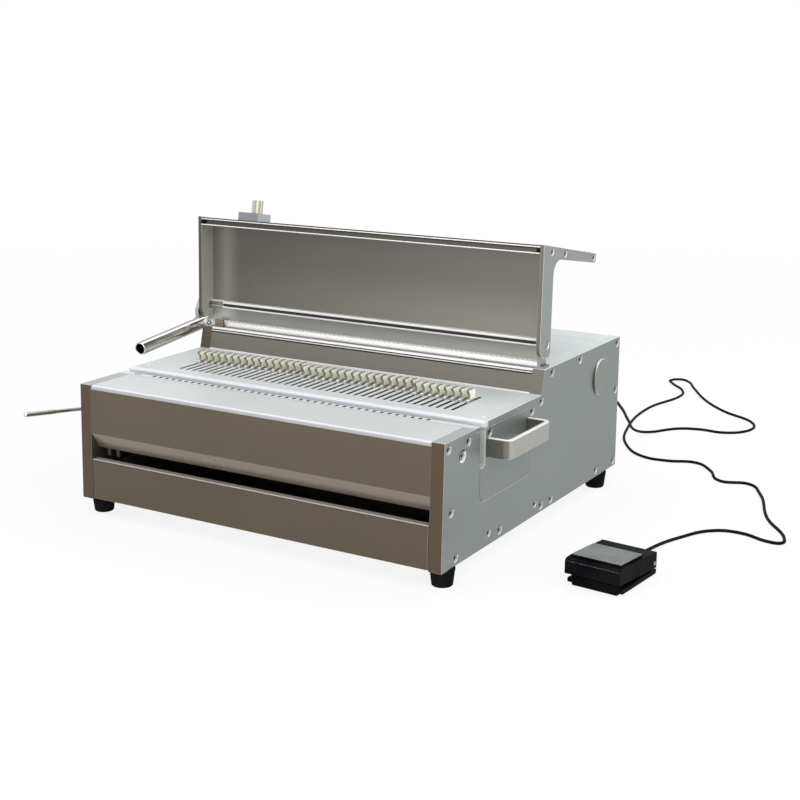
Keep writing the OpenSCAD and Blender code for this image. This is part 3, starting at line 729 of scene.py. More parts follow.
@dataclass
class CapScrew:
    """A socket head that sits in a pocket."""

    radius: float = 3.3
    sunk: float = 0.7
    rim: float = 1.0
    shank: float = 3.0
    chamfer: float = 0.35
    mouth: float = 0.60
    throat: float = 0.54
    socket: float = 0.56
    socket_floor: float = 1.6
    socket_wall: float = 1.45
    socket_shade_within: float = 0.55
    lit: Point = (0.0, 0.55, -0.8)

    def head(self, origin: Vector, axis: Vector, pocket: float) -> Mesh:
        """Makes the head, its socket and the pocket's chamfer, with painted shade in the socket and a painted highlight
        and shade on the chamfer.

        Args:
            origin: the pocket's centre on the face, in metres.
            axis: the face's outward normal.
            pocket: the pocket's radius in millimetres.

        Returns:
            A new bmesh in the row frame.
        """
        r, top, cut = self.radius, -self.sunk, self.chamfer
        bm = turned([
            (r, -self.shank), (r, top - cut), (r - cut, top), (r * self.mouth, top), (r * self.throat, top - 0.25)
        ], 24)
        hexa = bmesh.ops.create_circle(
            bm, cap_ends=True, segments=6, radius=r * self.socket * MM,
            matrix=Matrix.Translation((0, 0, (top - self.socket_floor) * MM)),
        )["verts"]
        around = list({e for v in hexa for e in v.link_edges})
        walls = bmesh.ops.extrude_edge_only(bm, edges=around)
        lifted = [g for g in walls["geom"] if isinstance(g, bmesh.types.BMVert)]
        bmesh.ops.translate(bm, verts=lifted, vec=(0, 0, self.socket_wall * MM))
        # Painted shade: the socket's faces near the axis take the dark finish.
        for face in bm.faces:
            inside = face.calc_center_median().xy.length < r * self.socket_shade_within * MM
            face.material_index = ScrewFace.SOCKET if inside else ScrewFace.HEAD
        edge = pocket + self.rim
        collar = turned([
            (pocket - 0.25, -1.4), (pocket - 0.2, -0.35), (pocket + min(0.7, self.rim / 2), 0.03),
            (edge, 0.06), (edge + 0.06, -0.02)
        ], 28)
        for face in collar.faces:
            face.material_index = ScrewFace.LIT_RIM
        join(bm, collar)
        place(bm, origin, axis)
        # The pocket's chamfer is split by which way it faces the lamp: painted highlight on the lit half, painted shade
        # on the other.
        light = Vector(self.lit)
        for face in bm.faces:
            away = (face.calc_center_median() - origin).dot(light) < 0.0
            if face.material_index == ScrewFace.LIT_RIM and away:
                face.material_index = ScrewFace.DARK_RIM
        return bm

    @staticmethod
    def skins(fin: Finishes) -> list[Finish]:
        """The materials of a screw, in the order of ScrewFace."""
        # Head, socket in painted shade, lit rim with painted highlight, shaded rim with painted shade.
        return [fin.screw, fin.dark, fin.plated_and_highlight, fin.seam]


@dataclass
class Case(Group):
    """The shell: plates, covers, deck, drawer front, feet and screws."""

    xo: float = 214.0
    xi: float = 200.5
    front_h: float = 120.0
    deck_h: float = 122.0
    rear_h: float = 146.0
    slot: Span = (72.0, 81.0)
    slot_floor: float = 70.0
    lip_h: float = 70.0
    riser_top: float = 205.5
    riser_foot: float = 1.3
    riser_trim: Span = (4.25, 3.1)
    riser_brow: float = 1.9
    slot_shade: float = 0.9
    nose_d: float = 5.0
    nose_out: float = 2.5
    nose_rise: float = 0.4
    screws: Outline = (
        (12, 113), (48.5, 112), (37.5, 101), (178.5, 110.5), (198.5, 116), (289.5, 140.5), (387, 140), (387, 88),
        (387, 6.5), (339.5, 7.5), (226, 7), (203, 7), (189, 12), (113, 8), (90.5, 12), (17.5, 53), (26.5, 7.5),
    )
    right_screw: Span = (222.5, 140.5)
    wide_rim: Span = (37.5, 101)
    narrow_rims: Outline = ((189, 12), (90.5, 12))
    die_screw: Span = (90, 110.6)
    pocket: float = 3.6
    deck_screws: Outline = ((-7 * HOOK_PITCH, 113), (9 * HOOK_PITCH, 112), (-203.5, 98), (203.5, 98))
    dome: Outline = ((0.0, 0.6), (1.0, 0.58), (1.7, 0.4), (2.0, 0.0))
    catch_x: Span = (-191.0, -175.0)
    catch_y: Span = (15.2, 16.6)
    catch_z: Point = (44.6, 53.5, 59.0)
    prong: float = 4.0
    marks: int = 40
    mark_shift: float = 4.5
    mark_half: float = 1.6
    mark_y: Span = (65.9, 70.6)
    mark_z: Span = (119.4, 120.04)
    dash: tuple[Span, Span] = ((-196.8, -188.2), (67.6, 69.4))
    cap_at: Span = (343.8, 110.8)
    cap: Outline = ((0.0, 2.1), (18.0, 2.1), (18.7, 2.4), (19.2, 2.4), (19.8, 1.9), (20.0, 1.2), (20.0, 0.0))
    feet_x: Span = (-204, 204)
    feet_y: Span = (20, 362)
    foot: Outline = (
        (0.0, 2.2), (3.2, 2.2), (3.4, 0.6), (4.2, 0.0), (9.2, 0.0), (10.0, 0.8), (11.6, 14.0), (12.0, 15.0),
        (12.0, 17.4), (11.4, 18.0), (0.0, 18.0),
    )

    def build(self) -> None:
        """Makes every piece of the shell."""
        self.plates()
        self.covers()
        self.nose()
        self.catch()
        self.plate_screws()
        self.inlays()
        spot = at(self.xo, *self.cap_at)
        self.lathe("blanking_cap_disc", self.cap, spot, X_AXIS, self.fin.case, "blanking_cap", steps=72)
        bm = bmesh.new()
        for x in self.feet_x:
            for y in self.feet_y:
                join(bm, place(turned(self.foot, 40), at(x, y, -FOOT_H), Z_AXIS))
        self.bench.piece("rubber_feet", bm, self.fin.rubber, "feet", ["feet"])

    def plates(self) -> None:
        """Dresses the side plates and the end plate of the die."""
        fin, dress = self.fin, self.bench.dress

        def in_slot(point: Vector, normal: Vector) -> bool:
            """Whether a drawing point is on the rear wall of the paper slot."""
            behind = self.slot[0] < point.y < self.slot[1] + 6.0
            return normal.y < -0.3 and behind and point.z > self.slot_floor

        for side in Side:
            # The plates' rounded edges carry painted highlights.
            dress(f"side_plate_{side.name.lower()}", fin.plate, 1.0, rim=fin.edge, accents=[
                # Painted shade on the plates' inner faces.
                (lambda p, n: abs(p.x) < self.xi + 0.3 and abs(n.x) > 0.8, fin.lip),
                # Painted light on the paper slot's rear wall.
                (in_slot, fin.wall),
                (lambda p, n: n.z > 0.95 and p.y < self.slot[0] and p.z > self.front_h - 1.0, fin.ledge),
                (lambda p, n: n.y < -0.6 and p.z > self.deck_h + 1.5, fin.riser if side is Side.RIGHT else fin.case),
                # Painted highlight on the plate's front top corner.
                (lambda p, n: p.y < 12.0 and p.z > self.front_h - 2.0 and n.y < -0.15 < 0.15 < n.z, fin.crest_highlight),
            ])
        # Painted shade along the end plate's rounded rim, except on its upper part, and painted light on the paper
        # slot's rear wall.
        dress("die_end_plate", fin.plate, 0.5, rim=fin.seam, accents=[
            (lambda p, n: p.z > self.front_h - 30.0, fin.plate), (in_slot, fin.wall)
        ])

    def covers(self) -> None:
        """Dresses the sheets and bars between the side plates."""
        fin, dress, deck = self.fin, self.bench.dress, self.deck_h
        foot, brow = deck + self.riser_foot, self.rear_h - self.riser_brow
        lit_band = [self.rear_h - down for down in self.riser_trim]
        dress("front_cover", fin.cover, 0.5, accents=[
            # Painted highlight on the cover's top bend, and painted light and shade on its lower lip.
            (lambda p, n: p.z > self.front_h - 4.0 and p.y < 9.5, fin.crest_highlight),
            (lambda p, n: p.z < self.lip_h and p.y < 14.0, fin.lip),
        ])
        # Painted shade and highlights in bands along the riser's top and foot: a dark groove, a pale band, a bright
        # brow and a bright line at the foot.
        dress("riser_panel", fin.riser, 0.2, accents=[
            (lambda p, n: self.rear_h - 5.7 < p.z and p.y < self.riser_top + 1.0, fin.shade),
            (lambda p, n: lit_band[0] < p.z < lit_band[1] and n.y < -0.5, fin.lit_band),
            (lambda p, n: p.z > brow and p.y < self.riser_top + 0.7, fin.bright),
            (lambda p, n: p.z < foot and n.y < -0.5, fin.bright),
        ], cuts=[level(foot), level(lit_band[1]), level(brow)])
        # Painted shade on the drawer front's rounded edges and top, and a painted highlight on its top front edge.
        dress("drawer_front", fin.case, 0.6, rim=fin.lip, accents=[
            (lambda p, n: n.z > 0.7, fin.lip), (lambda p, n: n.y < -0.2 < 0.2 < n.z and p.z > 40.0, fin.crest_highlight)
        ])
        # Painted highlights on the deck's rounded edges.
        dress("deck_plate", fin.deck, 0.25, rim=fin.edge, accents=[
            (lambda p, n: p.z < deck - 0.4, fin.shade),
            # Painted light on the upper part of the deck slots' right-facing walls, above the painted shade.
            (lambda p, n: deck - self.slot_shade < p.z < deck - 0.3 and n.x > 0.5, fin.wall),
        ], cuts=[level(deck - self.slot_shade)])
        # Painted highlights on the rounded edges of the slot bar and the rear pieces.
        dress("slot_bar", fin.deck, 0.25, rim=fin.edge)
        for node, width in (("rear_cover", 0.4), ("rear_panel", 0.3), ("base_plate", 0.3)):
            dress(node, fin.case, width, rim=fin.edge)

    def rim(self, spot: Span) -> float:
        """How wide the rim around a plate screw's pocket is, which carries a painted highlight and a painted shade."""
        return 2.8 if spot == self.wide_rim else 0.3 if spot in self.narrow_rims else 1.0

    def plate_screws(self) -> None:
        """Puts socket screws into the plates' pockets and round heads onto the deck."""
        skins = CapScrew.skins(self.fin)
        for side in Side:
            bm = bmesh.new()
            spots = [*self.screws, self.right_screw] if side is Side.RIGHT else self.screws
            for spot in spots:
                screw = CapScrew(rim=self.rim(spot))
                join(bm, screw.head(at(side.value * self.xo, *spot), X_AXIS * side.value, self.pocket))
            hides = ["plate_screws"] if side is Side.RIGHT else []
            self.bench.piece(f"plate_screws_{side.name.lower()}", bm, skins, "plate_screws", hides)
        bm = CapScrew().head(at(self.xo, *self.die_screw), X_AXIS, self.pocket)
        self.bench.piece("die_screw_head", bm, skins, "die_screw", ["die_screw"])
        bm = bmesh.new()
        for spot in self.deck_screws:
            join(bm, place(turned(self.dome, 24), at(*spot, self.deck_h), Z_AXIS))
        self.bench.piece("deck_screw_heads", bm, self.fin.bright, "deck_screws", ["deck_screws"])

    def nose(self) -> None:
        """Draws the bright bar behind the paper slot, whose faces towards the front are painted as pale as its top."""
        back, low, top = self.slot[1] + self.nose_d, self.deck_h - self.nose_d, self.deck_h + self.nose_rise
        y = self.slot[1] - self.nose_out
        outline = [(back, low), (back, top), (y + 1.6, top), (y + 0.6, top - 0.4), (y, top - 1.3),
                   (y, low + 1.0), (y + 0.7, low)]
        bm = extruded([at(-self.xo, *dot) for dot in outline], X_AXIS * 2.0 * self.xo * MM)
        block(bm, at(-self.xi, y, low - 5.0), at(self.xi, y + 2.0, low + 0.2))
        soften(bm, 0.3, over=60.0)
        self.bench.piece("deck_nose_bar", bm, self.fin.satin, "deck_nose", ["deck_nose"])

    def catch(self) -> None:
        """Hangs the small two-pronged catch behind the left end of the cover's lip."""
        (left, right), (near, far), (low, mid, high) = self.catch_x, self.catch_y, self.catch_z
        bm = bmesh.new()
        block(bm, at(left, near, mid), at(right, far, high))
        for x in (left, right - self.prong):
            block(bm, at(x, near, low), at(x + self.prong, far, mid))
        bmesh.ops.remove_doubles(bm, verts=bm.verts, dist=1e-6)
        soften(bm, 0.4)
        # The catch is painted dark, as painted shade in its recess behind the lip.
        self.bench.piece("drawer_catch", bm, self.fin.seam, "front_cover")

    def inlays(self) -> None:
        """Fills the position marks of the slot bar with dark inlays."""
        low, high = self.mark_z
        places = [(i - (self.marks - 1) / 2) * HOOK_PITCH - self.mark_shift for i in range(self.marks)]
        spans = [((x - self.mark_half, x + self.mark_half), self.mark_y) for x in places] + [self.dash]
        bm = bmesh.new()
        for (left, right), (near, far) in spans:
            block(bm, at(left, near, low), at(right, far, high))
        self.bench.piece("position_marks", bm, self.fin.dark, "slot_bar")


@dataclass
class CombOpener(Group):
    """The hooks, the hand lever, and its shaft with collar and keeper."""

    shaft_y: float = 219.0
    shaft_z: float = 146.0
    shaft_r: float = 6.5
    shaft_ends: Span = (-219.7, 203.5)
    collar_r: float = 7.6
    collar_ends: Span = (-213.3, -207.8)
    set_screw: Outline = ((2.6, -0.6), (2.6, 0.0), (2.4, 0.08), (1.5, 0.08), (1.4, -0.9), (0.0, -0.9))
    set_screw_aim: Point = (0, -0.94, 0.34)
    lever_x: float = -226.0
    lever_tilt: float = 5.74
    lever_r: float = 7.2
    lever_wall: float = 1.5
    lever_tail: float = 17.0
    lever_len: float = 108.5
    bolt: Outline = (
        (0.0, 4.0), (2.0, 4.0), (3.9, 3.3), (4.8, 1.9), (5.0, 0.6), (5.0, 0.0), (3.0, 0.0), (3.0, -13.0)
    )
    hook_hollow: float = 124.2
    hook_crown: float = 131.2
    hook_foot: float = 124.3
    hook_half: float = 1.5
    hook_d: float = 13.0
    toe: Point = (3.1, 2.6, 2.7)
    toe_out: float = 0.8
    toe_z: float = 122.3
    keeper_x: Span = (-200.4, -188.4)
    keeper_y: Span = (-9.4, -6.8)
    keeper_z: Span = (-16.0, 8.5)

    def on_shaft(self, x: float, y: float = 0.0, z: float = 0.0) -> Vector:
        """A point given from the shaft's axis, in millimetres, in the row frame."""
        return at(x, self.shaft_y + y, self.shaft_z + z)

    def build(self) -> None:
        """Makes every piece of the comb opener."""
        fin = self.fin
        for node in ("hooks_left", "hooks_centre", "hooks_right"):
            # Painted shade on the hooks: darker upper edges and concave fronts, darkest top edges, cream sides, and
            # darker lower sides below hook_foot.
            self.bench.dress(node, fin.plated_and_highlight, 0.3, over=30.0, accents=[
                (lambda p, n: p.z > self.hook_hollow, fin.hollow_shade),
                (lambda p, n: p.z > self.hook_crown, fin.crown_shade),
                (lambda p, n: abs(n.x) > 0.9, fin.cream),
                (lambda p, n: abs(n.x) > 0.9 and p.z < self.hook_foot, fin.hollow_shade),
            ], cuts=[level(self.hook_foot)])
            self.toes(node)
        bm = bmesh.new()
        block(bm, *(self.on_shaft(*corner) for corner in zip(self.keeper_x, self.keeper_y, self.keeper_z)))
        soften(bm, 0.5)
        # The keeper takes the re-toned finish of painted light and shade.
        self.bench.piece("bearing_keeper", bm, fin.lip, "shaft_bearings")
        self.lever()
        self.shaft()

    def toes(self, node: str) -> None:
        """Puts a bright rounded toe on the front of each hook of a segment.

        Args:
            node: the segment's CAD node.
        """
        low, high = (drawn(corner) for corner in map(Vector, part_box(node)))
        count = round((high.x - low.x) / HOOK_PITCH) + 1
        wide, deep, tall = self.toe
        bm = bmesh.new()
        for i in range(count):
            share = i / max(1, count - 1)
            x = low.x + self.hook_half + i * HOOK_PITCH
            y = low.y + share * (high.y - low.y - self.hook_d) - self.toe_out
            block(bm, at(x - wide / 2, y, self.toe_z), at(x + wide / 2, y + deep, self.toe_z + tall))
        soften(bm, 0.8)
        self.bench.piece(node.replace("hooks", "hook_toes"), bm, self.fin.plated_and_highlight, node)

    def lever(self) -> None:
        """Turns the lever's tube, a dark disc in its bore as painted shade, and its bolt."""
        r, end, tail = self.lever_r, self.lever_len, -self.lever_tail
        bore = r - self.lever_wall
        down = math.radians(self.lever_tilt)
        ahead = Vector((0, -math.cos(down), -math.sin(down)))
        root = self.on_shaft(self.lever_x)
        self.lathe("lever_tube_body", [
            (bore, tail), (r - 1.2, tail - 0.5), (r - 0.4, tail - 0.5), (r, tail), (r, 0.0), (r, 60.0),
            (r, end - 0.7), (r - 0.3, end - 0.1), (r - 0.7, end), (r - 1.3, end - 0.3), (bore, end - 1.0),
            (bore, 0.0), (bore, tail)
        ], root, ahead, self.fin.chrome, "lever_tube", steps=56)
        # Painted shade: a dark disc deep in the tube's bore.
        self.lathe("lever_bore", [
            (0.0, end - 14.0), (bore - 0.05, end - 14.0), (bore - 0.05, end - 1.6), (bore - 0.4, end - 1.6),
            (bore - 0.4, end - 13.5), (0.0, end - 13.5)
        ], root, ahead, self.fin.dark, "lever_tube", replaces=False, steps=40)
        spot = self.on_shaft(self.lever_x - r)
        self.lathe("lever_bolt_head", self.bolt, spot, -X_AXIS, self.fin.screw, "lever_bolt", steps=32)

    def shaft(self) -> None:
        """Turns the polished shaft and its collar, with a set screw that follows the collar's round."""
        r, out = self.shaft_r, self.collar_r
        long = self.shaft_ends[1] - self.shaft_ends[0]
        self.lathe("lever_shaft_rod", [
            (0.0, 0.0), (r - 0.4, 0.0), (r, 0.4), (r, long / 2), (r, long - 0.4), (r - 0.4, long), (0.0, long)
        ], self.on_shaft(self.shaft_ends[0]), X_AXIS, self.fin.shaft, "lever_shaft")
        wide = self.collar_ends[1] - self.collar_ends[0]
        # The collar takes the same pale finish, its front painted as pale as its top.
        self.lathe("shaft_collar_ring", [
            (r, 0.0), (out - 0.6, 0.0), (out, 0.6), (out, wide - 0.6), (out - 0.6, wide), (r, wide)
        ], self.on_shaft(self.collar_ends[0]), X_AXIS, self.fin.satin, "shaft_collar")
        screw = turned(self.set_screw, 24)
        for v in screw.verts:
            v.co.z -= out * MM - math.sqrt((out * MM) ** 2 - v.co.y ** 2)
        aim = Vector(self.set_screw_aim)
        place(screw, self.on_shaft(sum(self.collar_ends) / 2) + aim * out * MM, aim)
        self.bench.piece("collar_set_screw", screw, self.fin.dark, "shaft_collar")


@dataclass
class Lid(Group):
    """The swing lid with its shelf, stop and knob."""

    lean: float = 2.4
    dip: float = 8.1
    hinge: Span = (213.0, 169.5)
    arm_root: Span = (-16.2, 100.5)
    cheek_x1: float = 212.0
    panel_u: float = 4.5
    panel_foot: float = 2.5
    rail_start: float = -190.0
    rail_behind: float = 0.2
    groove_behind: float = 4.3
    groove_v: Span = (-0.6, 3.0)
    lip_s: float = 1.4
    channel_s: float = 3.8
    channel_t: Span = (-8.1, -3.4)
    brow_s: float = 6.0
    brow_t: float = -3.7
    brow_line: Span = (-2.9, -1.9)
    hole_shade: Outline = ((0.0, 0.0), (1.4, 0.0), (1.9, 0.4), (1.9, 3.6), (0.0, 3.6))
    hole_shade_at: Point = (8.2, 1.7, -5.75)
    knob_at: Point = (-160, 38, 9.2)
    knob_r: float = 6.1
    knob_h: float = 13.5
    knurls: int = 24
    knurl: float = 0.945
    stem: Outline = ((3.0, -8.6), (3.0, 0.0))
    screw_s: Point = (20, 51, 122.3)
    screw_t: float = -6.0
    pocket: float = 3.0
    hinge_pocket: float = 4.0

    def frame(self) -> Matrix:
        """Where the lid's own axes lie: x across, u back and v up from the hinge, in metres."""
        lean = Matrix.Rotation(math.radians(-self.lean), 4, "X")
        return Matrix.Translation(at(0.0, *self.hinge)) @ lean

    def arm(self) -> Matrix:
        """Where the arm's axes lie: x across, s along the arm and t above its top edge, in metres."""
        dip = Matrix.Rotation(math.radians(-self.dip), 4, "X")
        return self.frame() @ Matrix.Translation(Vector((0.0, *self.arm_root)) * MM) @ dip

    def on_arm(self, x: float, s: float, t: float) -> Vector:
        """A point on the lid's arm, given in millimetres, in the row frame."""
        return self.arm() @ (Vector((x, s, t)) * MM)

    def build(self) -> None:
        """Makes every piece of the lid."""
        self.panel()
        self.shelf()
        self.bench.dress("paper_stop", self.fin.slider, 0.4)
        # Dark discs at both ends of the shelf's channel, painted shade for the holes there.
        for side in Side:
            x, s, t = self.hole_shade_at
            spot = self.on_arm(side.value * (self.cheek_x1 - x), s, t)
            name = f"channel_plug_{side.name.lower()}"
            self.lathe(name, self.hole_shade, spot, X_AXIS * side.value, self.fin.dark, "lid_shelf", replaces=False, steps=24)
        self.knob()
        self.screws()

    def near_rail(self, point: Vector, behind: float) -> bool:
        """Whether a drawing point of the panel is in front of a line behind its face, and not at its left end, where
        the rail has no painted highlight.
        """
        spot = self.frame().inverted() @ at(*point) / MM
        return spot.y < self.panel_u - behind and point.x > self.rail_start

    def near_front(self, point: Vector, deep: float, heights: Span = (-math.inf, math.inf)) -> bool:
        """Whether a drawing point is less than so deep behind the shelf's front, and between two heights."""
        spot = self.arm().inverted() @ at(*point) / MM
        return spot.y < deep and heights[0] < spot.z < heights[1]

    def panel(self) -> None:
        """Dresses the cheeks and the panel with its rail, with painted light on the left cheek's inner face, painted
        reflections on the panel and a painted highlight along the rail.
        """
        fin, dress = self.fin, self.bench.dress
        for side in Side:
            # Painted highlights on the cheeks' rounded edges.
            dress(f"lid_cheek_{side.name.lower()}", fin.lid, 0.5, rim=fin.edge, accents=[
                # Painted light on the left cheek's inner face; the left cheek's front takes the case's front tone.
                (lambda p, n: p.x < 0.0 and n.x > 0.8, fin.lit_cheek), (lambda p, n: p.x < 0.0 and n.y < -0.8, fin.case)
            ])
        dress("lid_panel", fin.panel, 0.3, accents=[
            # The panel's foot has painted reflection, paler towards the bottom; the rail has a painted highlight from
            # rail_start on, and painted shade in its groove.
            (lambda p, n: p.z < self.hinge[1] - self.panel_foot, fin.foot),
            (lambda p, n: self.near_rail(p, self.rail_behind), fin.bright),
            (self.in_groove, fin.shade),
        ], cuts=[upright(self.rail_start)])

    def in_groove(self, point: Vector, normal: Vector) -> bool:
        """Whether a drawing point is on the floor of the rail's groove."""
        floor = self.near_rail(point, self.rail_behind) and not self.near_rail(point, self.groove_behind)
        return floor and self.groove_v[0] < (self.frame().inverted() @ at(*point)).z / MM < self.groove_v[1]

    def shelf(self) -> None:
        """Dresses the shelf, with painted highlights on its lips and brow, and painted shade in the channel of its
        front and on its brow.
        """
        fin = self.fin
        along, over = (self.on_arm(0, *way) - self.on_arm(0, 0, 0) for way in ((1, 0), (0, 1)))
        self.bench.dress("lid_shelf", fin.lid, 0.4, accents=[
            # Painted highlights on the lips and a line on the brow; painted shade in the channel and on the brow.
            (lambda p, n: self.near_front(p, self.lip_s), fin.bright),
            (lambda p, n: self.near_front(p, self.channel_s, self.channel_t), fin.groove),
            (lambda p, n: self.near_front(p, self.brow_s, (self.brow_t, math.inf)), fin.shade),
            (lambda p, n: self.near_front(p, self.lip_s, self.brow_line), fin.bright),
        ], cuts=[(self.on_arm(0, self.brow_s, 0), along)] + [(self.on_arm(0, 0, t), over) for t in self.brow_line])

    def knob(self) -> None:
        """Makes the knurled clamp knob on its stem."""
        corners = []
        for i in range(2 * self.knurls):
            turn = math.pi * i / self.knurls
            reach = self.knob_r * MM * (1.0 if i % 2 else self.knurl)
            corners.append(Vector((-math.sin(turn), math.cos(turn), 0.0)) * reach)
        bm = extruded(corners, Z_AXIS * self.knob_h * MM)
        caps = [f for f in bm.faces if len(f.verts) > 4]
        bmesh.ops.inset_region(bm, faces=caps, thickness=0.7 * MM, depth=0.5 * MM)
        join(bm, turned(self.stem, 24))
        axis = (self.on_arm(0, 0, 1) - self.on_arm(0, 0, 0)).normalized()
        place(bm, self.on_arm(*self.knob_at), axis)
        self.bench.piece("stop_knob_knurled", bm, self.fin.knob, "stop_knob", ["stop_knob"], crease=20.0)

    def screws(self) -> None:
        """Puts the small socket heads into the cheeks, and one over the right hinge pin."""
        small = CapScrew(radius=2.7, sunk=0.5, rim=0.6)
        skins = CapScrew.skins(self.fin)
        bm = bmesh.new()
        for side in Side:
            for s in self.screw_s:
                spot = self.on_arm(side.value * self.cheek_x1, s, self.screw_t)
                join(bm, small.head(spot, X_AXIS * side.value, self.pocket))
        self.bench.piece("lid_screw_heads", bm, skins, "lid_screws", ["lid_screws"])
        pivot = CapScrew(radius=3.5, sunk=0.4, rim=0.3)
        bm = pivot.head(at(self.cheek_x1, *self.hinge), X_AXIS, self.hinge_pocket)
        self.bench.piece("hinge_screw_head", bm, skins, "hinge_pins")


@dataclass
class DieAndClamp(Group):
    """The die's handle, the clamp rod and the plain steel pieces."""

    clamp_at: Point = (-222, 100, 77.7)
    clamp_tilt: float = 8.4
    clamp_len: float = 168.0
    sleeve_len: float = 42.0
    steel: tuple[str, ...] = ("pin_bar", "press_beam", "hook_carriage", "chip_tray", "die_rails", "carriage_rails")

    def build(self) -> None:
        """Dresses the handle and the steel pieces, and turns the clamp rod with its thicker end sleeve."""
        fin, dress = self.fin, self.bench.dress
        # Painted highlights on the handle's upper rounded edges.
        dress("die_handle", fin.handle, 1.1, over=60.0, segments=3, accents=[
            (lambda p, n: 0.3 < n.z < 0.96, fin.crest_highlight)
        ])
        for node in self.steel:
            dress(node, fin.steel, 0.3)
        up = math.radians(self.clamp_tilt)
        end, sleeve = self.clamp_len, self.clamp_len - self.sleeve_len
        self.lathe("clamp_rod_body", [
            (1.9, 7.6), (1.9, 60.0), (1.9, sleeve), (2.2, sleeve + 0.3), (2.3, sleeve + 0.7), (2.3, end - 0.8),
            (1.9, end - 0.2), (1.2, end), (0.0, end)
        ], at(*self.clamp_at), Vector((0, -math.cos(up), math.sin(up))), fin.chrome, "clamp_rod", steps=24)


@dataclass
class Pedal(Group):
    """The foot pedal and its cord."""

    centre: Point = (331.0, -85.0, 0.0)
    turn: float = -5.0
    pad_half: float = 25.5
    pad: Outline = ((-32.8, 26.5), (-32.8, 29.4), (10.4, 27.1), (10.4, 24.5))
    flange_half: float = 28.0
    flange: Outline = ((-33.6, 2.6), (-33.6, 6.2), (33.6, 6.2), (33.6, 2.6), (31.0, 0.4), (-31.0, 0.4))
    undercut: float = 2.0
    cord_d: float = 3.4
    cord_lie: float = 1.9
    cord_fall: tuple[Point, ...] = (
        (182, 203, 88), (187, 212, 87.5), (194, 232, 82), (192, 262, 66), (179, 318, 36), (171, 366, 10),
        (178, 392, 2.9),
    )
    cord_lay: Outline = (
        (203, 430), (226, 439.5), (258, 441), (280, 464), (276, 500), (222, 542), (186, 580), (145, 642), (124, 675),
        (112, 681), (101, 669), (108, 655), (136, 621), (145, 594), (132, 508), (146, 400), (176, 325), (212, 291),
        (240, 290), (272, 300), (296, 280), (320, 247), (350, 253), (370, 228), (403, 150), (437, 96), (437, 84.5),
        (426.5, 82), (394, 92.5), (370, 87), (346, 48),
    )
    cord_end: tuple[Point, ...] = ((334, -10, 4.2), (333.5, -50.5, 6))
    relief_len: float = 16.0
    ribs: int = 5
    rib_pitch: float = 2.8
    rib_growth: float = 0.35

    @property
    def route(self) -> list[Vector]:
        """The cord's points from the gland to the pedal, in metres."""
        lay = [(x, y, self.cord_lie) for x, y in self.cord_lay]
        return [Vector(spot) * MM for spot in (*self.cord_fall, *lay, *self.cord_end)]

    def build(self) -> None:
        """Makes the pedal's pieces and lays its cord."""
        fin, dress = self.fin, self.bench.dress
        self.cord()
        self.reliefs()
        dress("pedal_base", fin.black, 0.6)
        dress("pedal_treadle", fin.black, 0.7, over=30.0, accents=[
            # Painted highlight along the treadle's front top edge.
            (lambda p, n: -0.96 < n.y < -0.76 and n.z > 0.2 and abs(n.x) < 0.3, fin.black_edge_highlight)
        ])
        self.rubber()
        self.skirt()

    def across(self, half: float, outline: Outline) -> Mesh:
        """Draws an outline across the pedal.

        Args:
            half: half the width in millimetres.
            outline: depth and height of its corners.

        Returns:
            A new bmesh in the row frame.
        """
        spin = Matrix.Rotation(math.radians(self.turn), 4, "Z")
        stand = Matrix.Translation(Vector(self.centre) * MM) @ spin
        return extruded([stand @ (Vector((-half, *dot)) * MM) for dot in outline], spin @ (X_AXIS * 2.0 * half * MM))

    def rubber(self) -> None:
        """Draws the treadle's rubber pad, grey on top and black at its edges."""
        bm = self.across(self.pad_half, self.pad)
        soften(bm, 0.8)
        for face in bm.faces:
            face.material_index = 0 if face.normal.z > 0.9 else 1
        self.bench.piece("pedal_pad_rubber", bm, [self.fin.pad, self.fin.black], "pedal_pad", ["pedal_pad"])

    def skirt(self) -> None:
        """Adds the flange around the pedal's base, with its under edge cut back."""
        bm = self.across(self.flange_half, self.flange)
        low = [e for e in bm.edges if max(v.co.z for v in e.verts) < 0.5 * MM and len(e.link_faces) == 2]
        bevel(bm, low, self.undercut, 1)
        soften(bm, 0.4)
        self.bench.piece("pedal_base_flange", bm, self.fin.black, "pedal_base")

    def cord(self) -> None:
        """Lays the cord along its route as one smooth curve."""
        route = self.route
        line = bpy.data.curves.new("pedal_cord", "CURVE")
        line.dimensions = "3D"
        line.bevel_depth = self.cord_d / 2 * MM
        line.bevel_resolution = 5
        line.resolution_u = 6
        line.use_fill_caps = True
        spline = line.splines.new("BEZIER")
        spline.bezier_points.add(len(route) - 1)
        for dot, spot in zip(spline.bezier_points, route):
            dot.co = spot
            dot.handle_left_type = dot.handle_right_type = "AUTO"
        line.materials.append(self.fin.flex)
        made = bpy.data.objects.new("pedal_cord", line)
        bpy.context.scene.collection.objects.link(made)
        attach(made, "frame")
        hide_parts("cord")
        bpy.context.view_layer.update()

    def reliefs(self) -> None:
        """Turns the ribbed strain reliefs at both ends of the cord."""
        r, route = self.cord_d / 2, self.route
        rings = [(r, self.relief_len), (r + 0.5, self.relief_len)]
        for i in range(self.ribs):
            wide = r + 0.7 + self.rib_growth * (i + 1)
            low = self.relief_len - 2.4 - self.rib_pitch * i
            rings += [(wide - 0.25, low + 1.6), (wide, low + 1.2), (wide, low), (wide - 0.5, low - 0.4)]
        rings += [(r + 2.6, 0.4), (r + 2.6, -0.6), (r, -0.6)]
        for name, node, start, after in (("gland", "cord_gland", *route[:2]), ("pedal", "pedal_base", *route[:-3:-1])):
            aim = (after - start).normalized()
            self.lathe(f"{name}_relief", rings, start, aim, self.fin.rubber, node, replaces=False, steps=28)


